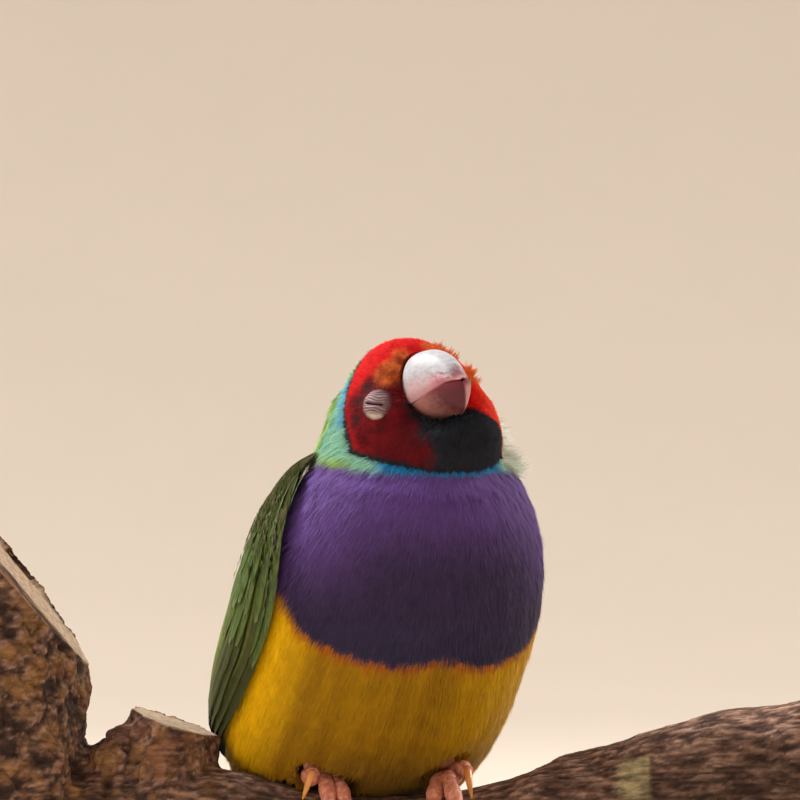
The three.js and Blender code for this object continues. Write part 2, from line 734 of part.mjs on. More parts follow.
// A rod from the base up to the branch, cut to the bark's shape.
function rodSolid(x, clearBranch) {
  const length = perchTop - BASE.thick;
  const geometry = new THREE.CylinderGeometry(ROD.radius, ROD.radius, length, 20);
  geometry.rotateX(Math.PI / 2).translate(x, 0, BASE.thick + GAP + length / 2);
  const below = solid(geometry).subtract(clearBranch);
  const foot = (shape) => shape.boundingBox().min[2];
  return below.decompose().reduce((a, b) => (foot(a) < foot(b) ? a : b));
}

// Putting it together

const eyes = { right: eyeParts(1), left: eyeParts(-1) };
const upperBill = billHalf(1, 0);
const lowerBill = billHalf(-1, 0);
const nostrils = [-1, 1].map((side) => ball(headPoint(5.1, side * 2.9, BILL.at + 4.8), 0.5, 1));
const headWhole = headSolid(0);
const head = union([headWhole, eyes.right.dome, eyes.left.dome])
  .subtract(union([billHalf(1, GAP), billHalf(-1, GAP)]))
  .subtract(union([eyes.right.hollow, eyes.left.hollow]));
const clearHead = headSolid(GAP);
const collarPlane = new THREE.Vector3(0, 0, 1)
  .addScaledVector(FORWARD, COLLAR_CUT.fall)
  .normalize();
const collarLevel = collarPlane.dot(bodyPoint(0, 0, COLLAR_CUT.u));
const collar = collarSolid(0)
  .trimByPlane(collarPlane.toArray(), collarLevel + GAP / 2)
  .subtract(clearHead);
const clearFeet = union(
  ["right", "left"].flatMap((name) => [
    footSolid(FEET[name], GAP),
    shankSolid(FEET[name], name === "right" ? 1 : -1, GAP),
  ]),
);
const clearBranch = branchLimb(GAP);
const clearTrunk = trunkPart(0, 1, 17, GAP);
const clearKnob = saw(stub(KNOB, 5, 16, 0.8), KNOB_CUT);
const torso = trunkPart(0, TRUNK_END, 15)
  .trimByPlane(collarPlane.clone().negate().toArray(), GAP / 2 - collarLevel)
  .subtract(clearHead)
  .subtract(clearBranch)
  .subtract(clearKnob)
  .subtract(clearFeet);
const tailGap = (GAP * 1.1) / 80;
const tail = union([trunkPart(TRUNK_END + tailGap, 1, 4), ...tailFeathers()]).subtract(clearBranch);

const finch = new THREE.Group();
finch.name = "gouldian_finch";
finch.add(
  piece("head", head, finishes.head),
  piece("bill_upper", upperBill.subtract(union(nostrils)), finishes.bill),
  piece("bill_lower", lowerBill, finishes.bill),
  piece("eye_right", eyes.right.ball, finishes.lid),
  piece("eye_left", eyes.left.ball, finishes.lid),
  piece("neck", collar, finishes.collar),
  piece("torso", torso, finishes.torso),
  piece("tail", tail, finishes.tail),
);
for (const [name, side] of [["right", 1], ["left", -1]]) {
  const wing = union([wingCore(side), ...wingFeathers(side)]).subtract(clearTrunk);
  const clearOf = footSolid(FEET[name], GAP);
  finch.add(
    piece("wing_" + name, wing.subtract(collarSolid(GAP)), finishes.wing),
    piece("foot_" + name, footSolid(FEET[name]), finishes.foot),
    piece("leg_" + name, shankSolid(FEET[name], side).subtract(clearOf), finishes.foot),
  );
}

const mount = new THREE.Group();
mount.add(piece("perch_branch", branchSolid(), finishes.bark));
mount.add(piece("stand_base", baseSolid(), finishes.base));
ROD.xs.forEach((x, i) =>
  mount.add(piece("stand_rod_" + (i + 1), rodSolid(x, clearBranch), finishes.rod)),
);

const root = new THREE.Group();
root.add(finch, mount);
export default root;
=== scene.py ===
import math
import bmesh
import bpy
import numpy as np
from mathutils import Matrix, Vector, noise


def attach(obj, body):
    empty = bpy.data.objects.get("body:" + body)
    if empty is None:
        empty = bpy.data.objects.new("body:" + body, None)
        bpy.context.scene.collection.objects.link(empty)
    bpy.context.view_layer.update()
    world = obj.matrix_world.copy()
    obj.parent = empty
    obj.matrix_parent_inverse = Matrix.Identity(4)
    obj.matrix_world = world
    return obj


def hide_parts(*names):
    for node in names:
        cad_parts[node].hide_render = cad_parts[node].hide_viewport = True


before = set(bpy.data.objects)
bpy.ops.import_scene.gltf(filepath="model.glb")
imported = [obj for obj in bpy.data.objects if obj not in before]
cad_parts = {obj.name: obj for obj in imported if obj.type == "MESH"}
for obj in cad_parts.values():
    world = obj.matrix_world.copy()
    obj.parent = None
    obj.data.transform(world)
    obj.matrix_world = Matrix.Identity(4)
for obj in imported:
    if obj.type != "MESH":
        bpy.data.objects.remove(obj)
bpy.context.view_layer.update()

scene = bpy.context.scene
mm = 0.001
upward = np.array([0.0, 0.0, 1.0])
print("frame loaded")

# Camera, as the photo sees the bird
view = {"at": (0.00208, -0.9, 0.118427), "lens": 291.6}
cameraData = bpy.data.cameras.new("camera")
cameraData.lens = view["lens"]
cameraData.clip_start, cameraData.clip_end = 0.01, 30
camera = bpy.data.objects.new("camera", cameraData)
camera.location = view["at"]
camera.rotation_euler = (math.pi / 2, 0, 0)
scene.collection.objects.link(camera)
scene.camera = camera
scene.view_settings.view_transform = "Standard"


# Small maths on arrays of places. All of it is in millimetres, x, y, z on the last axis.
def smoothAt(knots, t):
    knots = np.asarray(knots, float)
    last = len(knots) - 1
    x = np.clip(t, 0, 1) * last
    i = np.minimum(np.floor(x).astype(int), last - 1)
    w = x - i
    a, b, c, d = (knots[np.clip(i + k, 0, last)] for k in (-1, 0, 1, 2))
    bend = (2 * a - 5 * b + 4 * c - d) * w + (3 * b - a - 3 * c + d) * w * w
    return 0.5 * (2 * b + (c - a) * w + bend * w)


def unit(v):
    return v / np.maximum(np.linalg.norm(v, axis=-1, keepdims=True), 1e-9)


def ease(x, low, high):
    t = np.clip((x - low) / (high - low), 0, 1)
    return t * t * (3 - 2 * t)


def mix(a, b, w):
    w = np.asarray(w)[..., None]
    return a * (1 - w) + b * w


def power(value, k):
    return np.sign(value) * np.abs(value) ** k


def tone(r, g, b):
    c = np.array([r, g, b]) / 255
    return np.where(c < 0.04045, c / 12.92, ((c + 0.055) / 1.055) ** 2.4)


def dots(points, direction):
    return points @ direction


# Ways turned so that they lie along the surface
def alongSurface(ways, normals):
    return unit(ways - normals * np.sum(ways * normals, -1, keepdims=True))


# Uneven values at places: one layer of noise, or several from coarse to fine
def waves(points, scale, shift=0):
    return np.array([noise.noise(Vector(p)) for p in points * scale + shift])


def flecks(points, scale, rough=0.8, gap=2.2, layers=3):
    return np.array([noise.fractal(Vector(p), rough, gap, layers) for p in points * scale])


# The bird's and the head's own directions. A side is 1 on its right and -1 on its left.
bird = {"yaw": 25, "perchTop": 64.677, "gap": 0.32}
headPose = {"yaw": 27, "pitch": 13, "roll": 10, "forward": 12.5, "up": 51.8}
perchSpot = np.array([0, 0, bird["perchTop"]])
yaw = math.radians(bird["yaw"])
bodyForward = np.array([math.sin(yaw), -math.cos(yaw), 0])
bodyRight = np.array([-math.cos(yaw), -math.sin(yaw), 0])
yaw, pitch, roll = (math.radians(headPose[k]) for k in ("yaw", "pitch", "roll"))
headForward = np.array(
    [math.sin(yaw) * math.cos(pitch), -math.cos(yaw) * math.cos(pitch), math.sin(pitch)]
)
headRight = np.array([-math.cos(yaw), -math.sin(yaw), 0])
headRight = headRight * math.cos(roll) + np.cross(headForward, headRight) * math.sin(roll)
headUp = np.cross(headRight, headForward)


# Places told as forward, right and up of the perch or of the head's centre, and back again
def placeFrom(centre, axes, amounts):
    f, r, u = (np.asarray(v, float)[..., None] for v in amounts)
    return centre + f * axes[0] + r * axes[1] + u * axes[2]


def bodyPoint(f, r, u):
    return placeFrom(perchSpot, (bodyForward, bodyRight, upward), (f, r, u))


def bodyCoords(points):
    away = points - perchSpot
    return dots(away, bodyForward), dots(away, bodyRight), dots(away, upward)


headCentre = bodyPoint(headPose["forward"], 0, headPose["up"])


def headPoint(f, r, u):
    return placeFrom(headCentre, (headForward, headRight, headUp), (f, r, u))


def headCoords(points):
    away = points - headCentre
    return dots(away, headForward), dots(away, headRight), dots(away, headUp)


# The trunk from the neck's root to the tail coverts, as the solids have it
trunk = {
    "forward": [9.6, 9.2, 7.9, 5.0, 0.2, -5.3, -11.3, -17.3, -23.0, -28.0],
    "up": [47.5, 43.5, 36.5, 28.0, 20.3, 12.5, 4.8, -3.0, -10.5, -17.3],
    "wide": [11.0, 15.0, 18.9, 20.6, 20.7, 20.6, 19.2, 13.6, 7.8, 4.4],
    "front": [11.0, 14.8, 16.8, 17.3, 17.3, 15.8, 12.4, 9.0, 5.2, 2.8],
    "back": [11.0, 12.8, 13.6, 14.0, 14.0, 13.0, 11.5, 8.8, 5.6, 3.0],
}


def trunkFrame(s):
    (f0, u0), (f1, u1) = ((smoothAt(trunk["forward"], t), smoothAt(trunk["up"], t))
                          for t in (s - 0.02, s + 0.02))
    length = np.hypot(f1 - f0, u1 - u0)
    way = ((f1 - f0) / length, (u1 - u0) / length)
    return smoothAt(trunk["forward"], s), smoothAt(trunk["up"], s), way


def trunkPoint(s, angle, h=0.0):
    f, u, way = trunkFrame(s)
    wide = (smoothAt(trunk["wide"], s) + h) * np.sin(angle)
    deep = np.where(np.cos(angle) > 0, smoothAt(trunk["front"], s), smoothAt(trunk["back"], s))
    along = (deep + h) * np.cos(angle)
    return bodyPoint(f - way[1] * along, wide, u + way[0] * along)


# Where a place lies on the trunk: s, the angle round it in degrees, and the way on
def trunkPlace(points):
    stations = np.linspace(0, 1, 121)
    sf, su, way = trunkFrame(stations)
    f, r, u = bodyCoords(points)
    df, du = f[:, None] - sf, u[:, None] - su
    best = np.argmin(np.abs(df * way[0] + du * way[1]) + 0.04 * np.hypot(df, du), axis=1)
    rows = np.arange(len(f))
    wayOn = way[0][best], way[1][best]
    across = -df[rows, best] * wayOn[1] + du[rows, best] * wayOn[0]
    s = stations[best]
    deep = np.where(across > 0, smoothAt(trunk["front"], s), smoothAt(trunk["back"], s))
    angle = np.degrees(np.arctan2(r / smoothAt(trunk["wide"], s), across / deep))
    onward = wayOn[0][:, None] * bodyForward + wayOn[1][:, None] * upward
    return s, angle, onward


# Markings, with painted light and shade. Each takes places and gives colours, the same for skin and
# feathers.
tones = {
    "scarlet": tone(232, 32, 32), "crimson": tone(142, 24, 34), "darkRed": tone(92, 18, 26),
    "black": tone(40, 42, 50), "orange": tone(238, 122, 56), "bare": tone(72, 34, 34),
    "flame": tone(244, 66, 30), "lore": tone(112, 40, 30),
    "azure": tone(16, 134, 194), "deepBlue": tone(8, 56, 98), "turquoise": tone(104, 184, 214),
    "mint": tone(146, 206, 178), "leaf": tone(158, 196, 58), "pale": tone(240, 246, 232),
    "violet": tone(120, 84, 166), "plum": tone(64, 50, 84), "indigo": tone(54, 48, 76),
    "gold": tone(255, 200, 0), "ochre": tone(142, 98, 0), "rim": tone(196, 96, 14),
    "green": tone(84, 132, 44), "rump": tone(128, 186, 208),
    "vent": tone(226, 222, 206), "shade": tone(86, 66, 24),
}
marks = {
    # height of the violet's lower edge at even steps across the breast, from its left to right,
    # and how fast it rises behind a place that far forward
    "breastEdge": [31, 23.5, 19.8, 18.5, 17.5, 17.2, 17.7, 18.3, 17.8, 17.5, 17.9, 18.8, 20.2,
                   23, 32],
    "halfBreast": 21, "breastRise": 1.6, "breastFront": 4,
    "collarLevel": 46.4, "collarFall": 0.16,
    "maskBack": 2.2, "maskLean": 0.29, "maskFloor": 44.1, "maskFall": 0.26, "maskFront": 21.5,
}


# How far a place is inside the red mask
def maskDepth(points):
    hf, hr, hu = headCoords(points)
    f, r, u = bodyCoords(points)
    behind = hf + marks["maskBack"] + marks["maskLean"] * hu
    below = u - marks["maskFloor"] - marks["maskFall"] * (marks["maskFront"] - f)
    return np.minimum(behind, below)


# How high the violet's lower edge is
def breastLine(f, r):
    edge = smoothAt(marks["breastEdge"], (r / marks["halfBreast"] + 1) / 2)
    return edge + marks["breastRise"] * np.maximum(marks["breastFront"] - f, 0)


# How far a place is above the line where the breast's feathers end and the collar begins
def collarHeight(points):
    f, r, u = bodyCoords(points)
    return u + marks["collarFall"] * f - marks["collarLevel"]


def near(points, f, r, u, reach):
    away = np.linalg.norm(points - headPoint(f, r, u), axis=-1)
    return 1 - ease(away, reach * 0.45, reach)


# The chin's black: its top edge at places across, from the bird's left to its right
chin = {"across": [-11, -9.8, -6, -3.3, -1, 1.5, 3.2, 4.5, 12],
        "top": [-4.6, -4.4, -4.0, -1.6, -0.4, -0.4, -1.2, -0.2, -0.2], "near": (4.4, 6.2)}
# Patches on the mask: how strong at least and how much more where the noise is in a range, then
# for each patch forward, right, up and reach
maskPatches = {
    "orange": (0.35, 0.55, (-0.4, 0.3), [
        (3.0, 5.2, 6.2, 3.0), (2.6, 2.6, 8.6, 1.6), (2.9, -3.0, 8.4, 2.6), (4.5, -6.6, 3.6, 2.0)]),
    "lore": (0, 0.45, (-0.2, 0.3), [
        (5.0, 5.6, 3.4, 1.9), (5.4, 5.6, 1.0, 1.7), (5.0, 5.4, 5.0, 1.2)]),
    "bare": (0.3, 0.6, (-0.4, 0.3), [
        (0.8, 8.2, 5.4, 1.7), (0.0, 9.6, 3.6, 1.5), (-0.6, 10.4, 1.0, 1.4), (3.0, 8.6, -1.2, 1.0)]),
}


def maskTone(points):
    hf, hr, hu = headCoords(points)
    fleck = flecks(points, 0.55)
    # The mask is scarlet all over. Painted shade darkens most of it to crimson and dark red, most
    # on the near cheek and lower front; painted light keeps the crown, the far side and the mask's
    # edge scarlet and puts flame on the far cheek.
    dark = mix(tones["darkRed"], tones["crimson"], 0.55 + 0.5 * fleck)
    colour = mix(dark, tones["darkRed"], ease(hf, 2.5, 5.5) * (1 - ease(hu, -3, 1)) * 0.5)
    crown = ease(hu - 0.8 * hf + 0.9 * fleck, 4.6, 7.2)
    colour = mix(colour, tones["scarlet"], np.maximum(crown, ease(-hr, -3.2, -0.8)))
    edge = (1 - ease(maskDepth(points), 0.7, 2.2)) * ease(hu, -4.5, -1)
    colour = mix(colour, tones["scarlet"], 0.6 * edge)
    colour = mix(colour, tones["flame"], ease(-hr, 4.5, 7) * (1 - ease(hu, 4, 7)) * 0.8)
    for label, (least, more, span, places) in maskPatches.items():
        for place in places:
            strength = near(points, *place) * (least + more * ease(fleck, *span))
            colour = mix(colour, tones[label], strength)
    top = np.interp(hr, chin["across"], chin["top"])
    black = (1 - ease(hu - top + 0.4 * fleck, -0.5, 0.4)) * ease(hf, 0.5, 3.0)
    black = black * (1 - ease(hr + 0.5 * fleck, *chin["near"])) * (1 - ease(-hr, 9.6, 10.8))
    gape = near(points, 5.9, 4.6, 0.9, 1.5)
    return mix(colour, tones["black"], np.maximum(black, gape))


def collarTone(points):
    f, r, u = bodyCoords(points)
    bearing = np.degrees(np.arctan2(r, f - 8.3))
    turn = np.abs(bearing)
    depth, level = -maskDepth(points), collarHeight(points)
    fleck = flecks(points, 0.5)
    under = marks["maskFloor"] + marks["maskFall"] * (marks["maskFront"] - f) - u
    front = mix(tones["azure"], tones["deepBlue"], ease(under + 0.6 * fleck, 0.9, 2.3))
    side = mix(tones["turquoise"], tones["mint"], ease(turn + 14 * fleck - 9 * level, 20, 50))
    side = mix(side, tones["pale"], ease(-bearing, 40, 70) * 0.7)
    leafy = ease(turn, 52, 72) * (1 - ease(level, 0.2, 1.7)) * (r > 0)
    side = mix(side, tones["leaf"], leafy)
    back = mix(tones["turquoise"], tones["green"], ease(depth, 1.6, 4.6))
    colour = mix(front, side, ease(turn + 8 * fleck, 34, 54))
    colour = mix(colour, tones["leaf"], ease(turn, 98, 112) * (r > 0))
    return mix(colour, back, ease(turn, 108, 126))


def trunkTone(points):
    s, angle, onward = trunkPlace(points)
    f, r, u = bodyCoords(points)
    turn = np.abs(angle)
    edge = breastLine(f, r)
    # Painted shade: the violet darkens to plum and indigo lower down, where the breast turns under;
    # a painted sheen lightens it on both sides.
    breast = mix(tones["plum"], tones["violet"], ease(u, 29, 44))
    breast = mix(tones["indigo"], breast, ease(u, 17, 29))
    breast = mix(breast, tones["violet"], 0.6 * ease(np.abs(r), 8, 18) * ease(u, 24, 36))
    streak = flecks(np.stack([angle * 0.15, s * 2.2, np.full(len(s), 1.7)], -1), 1, 0.9, 2.1)
    # Painted light and shade on a yellow belly: gold on the lit right flank and less on the left,
    # ochre in the middle and lower down, and the shade tone darker still at the low middle.
    bright = ease(r, 15, 20.5) * 0.95 + ease(-r, 0, 12) * 0.35 + 0.15 * ease(u, 0, 14)
    belly = mix(tones["ochre"], tones["gold"], bright + 0.12 * streak)
    rim = ease(u - edge, -1.6, -0.2)
    belly = mix(belly, tones["rim"], 0.7 * rim)
    shaded = 0.6 * (1 - ease(u, 0.0, 8.0)) * (1 - ease(np.abs(r), 9, 15))
    belly = mix(belly, tones["shade"], shaded)
    belly = mix(belly, tones["vent"], ease(s, 0.7, 0.8))
    colour = mix(belly, breast, ease(u - edge, -0.25, 0.35))
    back = mix(tones["green"], tones["rump"], ease(s, 0.62, 0.74))
    return mix(colour, back, ease(turn, 100, 116))


def plumageTone(points):
    mask, level = maskDepth(points), collarHeight(points)
    colour = mix(trunkTone(points), collarTone(points), ease(level, -0.2, 0.5))
    colour = mix(colour, tones["black"], ease(mask, -0.12, 0.02) * ease(level, 0, 1))
    return mix(colour, maskTone(points), ease(mask, 0.4, 0.85) * ease(level, 0, 1))


# Materials
def makeGroup(name, inputs, outputs):
    group = bpy.data.node_groups.new(name, "ShaderNodeTree")
    for label, kind, value in inputs:
        socket = group.interface.new_socket(label, in_out="INPUT", socket_type=kind)
        socket.default_value = value
    for label, kind in outputs:
        group.interface.new_socket(label, in_out="OUTPUT", socket_type=kind)
    return group, group.nodes.new("NodeGroupInput"), group.nodes.new("NodeGroupOutput")


def addNode(tree, kind, operation=None, **values):
    node = tree.nodes.new("ShaderNode" + kind)
    if operation:
        node.operation = operation
    for label, value in values.items():
        node.inputs[label.replace("_", " ")].default_value = value
    return node


# Fine uneven tone: a colour made lighter and darker in spots, which may be stretched
def makeMottle():
    group, given, out = makeGroup(
        "mottle",
        [("Colour", "NodeSocketColor", (0.5, 0.5, 0.5, 1)), ("Scale", "NodeSocketFloat", 300.0),
         ("Amount", "NodeSocketFloat", 0.3), ("Stretch", "NodeSocketVector", (1, 1, 1))],
        [("Colour", "NodeSocketColor"), ("Height", "NodeSocketFloat")],
    )
    where = addNode(group, "TexCoord")
    stretched = addNode(group, "VectorMath", "MULTIPLY")
    spots = addNode(group, "TexNoise", Detail=6, Roughness=0.65)
    spread = addNode(group, "MapRange", From_Min=0.3, From_Max=0.7, To_Min=-1)
    scaled = addNode(group, "Math", "MULTIPLY")
    factor = addNode(group, "Math", "ADD")
    factor.inputs[1].default_value = 1
    made = addNode(group, "VectorMath", "SCALE")
    for source, target in (
            (where.outputs["Object"], stretched.inputs[0]),
            (given.outputs["Stretch"], stretched.inputs[1]),
            (stretched.outputs[0], spots.inputs["Vector"]),
            (given.outputs["Scale"], spots.inputs["Scale"]),
            (spots.outputs["Fac"], spread.inputs["Value"]),
            (spread.outputs["Result"], scaled.inputs[0]),
            (given.outputs["Amount"], scaled.inputs[1]),
            (scaled.outputs[0], factor.inputs[0]),
            (given.outputs["Colour"], made.inputs[0]),
            (factor.outputs[0], made.inputs["Scale"]),
            (made.outputs[0], out.inputs["Colour"]),
            (spots.outputs["Fac"], out.inputs["Height"])):
        group.links.new(source, target)
    return group


mottle = makeMottle()


# A material whose colour comes from the named attribute or from one colour, with mottle and bump
def makeMaterial(name, colour=None, painted=None, scale=400.0, amount=0.25, bump=0.0,
                 depth=0.0001, roughness=0.6, stretch=(1, 1, 1), **shader):
    material = bpy.data.materials.new(name)
    material.use_nodes = True
    tree = material.node_tree
    surface = tree.nodes["Principled BSDF"]
    surface.inputs["Roughness"].default_value = roughness
    for label, value in shader.items():
        surface.inputs[label.replace("_", " ")].default_value = value
    group = tree.nodes.new("ShaderNodeGroup")
    group.node_tree = mottle
    for label, value in (("Scale", scale), ("Amount", amount), ("Stretch", stretch)):
        group.inputs[label].default_value = value
    if painted:
        paint = addNode(tree, "Attribute")
        paint.attribute_name = painted
        tree.links.new(paint.outputs["Color"], group.inputs["Colour"])
    else:
        group.inputs["Colour"].default_value = (*colour, 1)
    tree.links.new(group.outputs["Colour"], surface.inputs["Base Color"])
    if bump:
        relief = addNode(tree, "Bump", Strength=bump, Distance=depth)
        tree.links.new(group.outputs["Height"], relief.inputs["Height"])
        tree.links.new(relief.outputs["Normal"], surface.inputs["Normal"])
    return material


materials = {
    "skin": makeMaterial("plumageSkin", painted="paint", scale=900, amount=0.3, bump=0.5,
                         roughness=0.9),
    "coat": makeMaterial("plumageCoat", painted="paint", scale=500, amount=0.12, roughness=0.62,
                         Specular_IOR_Level=0.12, Sheen_Weight=0.05, Sheen_Roughness=0.5),
    "faceCoat": makeMaterial("faceCoat", painted="paint", scale=700, amount=0.18, roughness=0.8,
                             Specular_IOR_Level=0.12),
    "quill": makeMaterial("flightFeather", painted="paint", scale=900, amount=0.22, bump=0.3,
                          roughness=0.68, Specular_IOR_Level=0.18),
    "bill": makeMaterial("billHorn", painted="paint", scale=900, amount=0.1, bump=0.35,
                         roughness=0.42, Specular_IOR_Level=0.4),
    "lid": makeMaterial("eyelidSkin", painted="paint", scale=1400, amount=0.2, bump=0.5,
                        roughness=0.5),
    "eye": makeMaterial("eyeBall", colour=tone(20, 12, 12), scale=900, amount=0.3, roughness=0.12),
    "foot": makeMaterial("footSkin", painted="paint", scale=1500, amount=0.16, bump=0.4,
                         roughness=0.48, Specular_IOR_Level=0.45),
    "claw": makeMaterial("clawHorn", painted="paint", scale=900, amount=0.12, bump=0.1,
                         roughness=0.3, Coat_Weight=0.2),
    "bark": makeMaterial("barkSkin", painted="paint", scale=1300, amount=0.5, bump=0.9,
                         depth=0.0002, roughness=0.9, stretch=(0.35, 1, 1),
                         Specular_IOR_Level=0.15),
    "baseWood": makeMaterial("baseWood", colour=tone(74, 52, 40), scale=260, amount=0.35, bump=0.15,
                             roughness=0.45, stretch=(0.08, 1, 1), Coat_Weight=0.25),
    "steel": makeMaterial("rodSteel", colour=tone(176, 176, 178), scale=300, amount=0.06,
                          bump=0.08, roughness=0.3, Metallic=1.0),
    "floor": makeMaterial("paleFloor", colour=tone(224, 212, 198), scale=4, amount=0.02,
                          roughness=0.75),
}


# Making pieces
def putPiece(mesh, material, slotName=None, nodes=()):
    mesh.materials.append(materials[material])
    mesh.shade_smooth()
    piece = bpy.data.objects.new(mesh.name, mesh)
    scene.collection.objects.link(piece)
    if slotName:
        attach(piece, "root")
        if nodes:
            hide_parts(*nodes)
        faces = sum(len(p.vertices) - 2 for p in mesh.polygons)
        print(mesh.name, faces, "triangles")
    return piece


def paintMesh(mesh, colours):
    layer = mesh.attributes.new("paint", "FLOAT_COLOR", "POINT")
    rgba = np.ones((len(mesh.vertices), 4), np.float32)
    rgba[:, :3] = np.clip(colours, 0, 1)
    layer.data.foreach_set("color", rgba.ravel())


def readVerts(mesh, field):
    values = np.empty(len(mesh.vertices) * 3)
    mesh.vertices.foreach_get(field, values)
    return values.reshape(-1, 3)


def placesOf(mesh):
    return readVerts(mesh, "co") / mm


def putPlaces(mesh, points):
    mesh.vertices.foreach_set("co", (points * mm).astype(np.float32).ravel())


# Many small shapes as one mesh, from arrays of places, faces, colours and map places
def meshOfMany(name, points, faces, colours, spots):
    mesh = bpy.data.meshes.new(name)
    mesh.vertices.add(len(points))
    putPlaces(mesh, points)
    mesh.loops.add(faces.size)
    mesh.loops.foreach_set("vertex_index", faces.astype(np.int32).ravel())
    mesh.polygons.add(len(faces))
    starts = np.arange(0, faces.size, faces.shape[1], dtype=np.int32)
    mesh.polygons.foreach_set("loop_start", starts)
    mesh.update(calc_edges=True)
    paintMesh(mesh, colours)
    layer = mesh.uv_layers.new(name="OFBake")
    layer.data.foreach_set("uv", spots[faces.ravel()].astype(np.float32).ravel())
    return mesh


# A sheet from a grid, each point moved to placeAt(across, along), with seams and poles closed
def wrapGrid(bm, columns, rows, placeAt):
    made = bmesh.ops.create_grid(bm, x_segments=columns, y_segments=rows, size=0.5)["verts"]
    where = np.array([v.co[:2] for v in made]) + 0.5
    for vert, point in zip(made, placeAt(where[:, 0], where[:, 1]) * mm):
        vert.co = point
    bmesh.ops.remove_doubles(bm, verts=made, dist=2e-6)


def meshFrom(bm, name, closed=True):
    if closed:
        bmesh.ops.recalc_face_normals(bm, faces=bm.faces)
    mesh = bpy.data.meshes.new(name)
    bm.to_mesh(mesh)
    bm.free()
    return mesh


def unwrap(piece, limit=66, margin=0.004):
    layer = piece.data.uv_layers.new(name="OFBake")
    piece.data.uv_layers.active = layer
    bpy.context.view_layer.objects.active = piece
    piece.select_set(True)
    bpy.ops.object.mode_set(mode="EDIT")
    bpy.ops.mesh.select_all(action="SELECT")
    bpy.ops.uv.smart_project(angle_limit=math.radians(limit), island_margin=margin)
    bpy.ops.object.mode_set(mode="OBJECT")
    piece.select_set(False)


# One closed body from copies of solids and round lumps, remeshed finely
def softCopy(name, nodes, grow, voxel, passes, lumps=()):
    bm = bmesh.new()
    for place, size in lumps:
        made = bmesh.ops.create_icosphere(bm, subdivisions=4, radius=1)["verts"]
        for vert in made:
            vert.co = Vector((np.array(vert.co) * size + place + perchSpot) * mm)
    for node in nodes:
        one = bmesh.new()
        one.from_mesh(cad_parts[node].data)
        bmesh.ops.remove_doubles(one, verts=one.verts, dist=1e-6)
        one.normal_update()
        for vert in one.verts:
            vert.co += vert.normal * grow * mm
        part = bpy.data.meshes.new(node)
        one.to_mesh(part)
        one.free()
        bm.from_mesh(part)
        bpy.data.meshes.remove(part)
    rough = bpy.data.objects.new(name, meshFrom(bm, name, closed=False))
    scene.collection.objects.link(rough)
    remesh = rough.modifiers.new("remesh", "REMESH")
    remesh.mode = "VOXEL"
    remesh.voxel_size = voxel * mm
    smooth = rough.modifiers.new("smooth", "SMOOTH")
    smooth.factor, smooth.iterations = 0.5, passes
    seen = rough.evaluated_get(bpy.context.evaluated_depsgraph_get())
    mesh = bpy.data.meshes.new_from_object(seen)
    mesh.name = name
    bpy.data.objects.remove(rough)
    return mesh


# Bill
bill = {
    "base": 2.2, "at": 1.85, "gape": 0.04, "edge": [-0.9, -0.9, -0.8, -0.5, -0.1, 0.15, 0.0],
    "upper": {"tip": 13.3, "ridge": [5.7, 6.0, 5.9, 5.3, 4.3, 2.7, 0.35],
              "wide": [3.4, 4.5, 4.2, 3.5, 2.6, 1.6, 0.3], "round": 0.9},
    "lower": {"tip": 12.8, "ridge": [-4.4, -4.75, -4.7, -4.4, -3.6, -1.8, -0.4],
              "wide": [3.3, 4.2, 3.8, 3.0, 2.1, 1.1, 0.3], "round": 1.5},
    "ivory": tone(192, 194, 202), "bluish": tone(158, 156, 170), "rose": tone(194, 92, 116),
    "wine": tone(132, 30, 56), "flesh": tone(176, 120, 112), "ruby": tone(84, 16, 30),
    "lip": tone(196, 132, 134), "horn": tone(206, 172, 158),
}


def billEdge(f):
    return smoothAt(bill["edge"], (f - bill["base"]) / (bill["upper"]["tip"] - bill["base"]))


# One half of the bill: its outside over four fifths of the width, then the flat inner face
def billHalf(sign):
    half = bill["upper" if sign > 0 else "lower"]

    def placeAt(across, along):
        reach = along if sign > 0 else np.sin(along * np.pi / 2)
        f = bill["base"] + (half["tip"] - bill["base"]) * reach
        wide, ridge = smoothAt(half["wide"], along), smoothAt(half["ridge"], along)
        edge = billEdge(f) + sign * bill["gape"]
        over = np.clip(across / 0.8, 0, 1) - 0.5
        under = np.clip((across - 0.8) / 0.2, 0, 1)
        keel = np.cos(over * np.pi) ** half["round"]
        lip = 0.13 * np.exp(-((np.abs(over) - 0.455) / 0.035) ** 2) * (sign > 0)
        reachOut = wide * power(np.sin(over * np.pi), half["round"] - 0.05)
        side = np.where(across < 0.8, reachOut + lip * np.sign(over), wide * (1 - 2 * under))
        height = np.where(across < 0.8, edge + (ridge - edge) * keel,
                          edge + sign * 0.5 * np.sin(np.pi * under))
        ends = ((along > 0) & (along < 1)).astype(float)
        middle = (edge + ridge) / 2
        return headPoint(f, side * ends, bill["at"] + middle + (height - middle) * ends)
    return placeAt


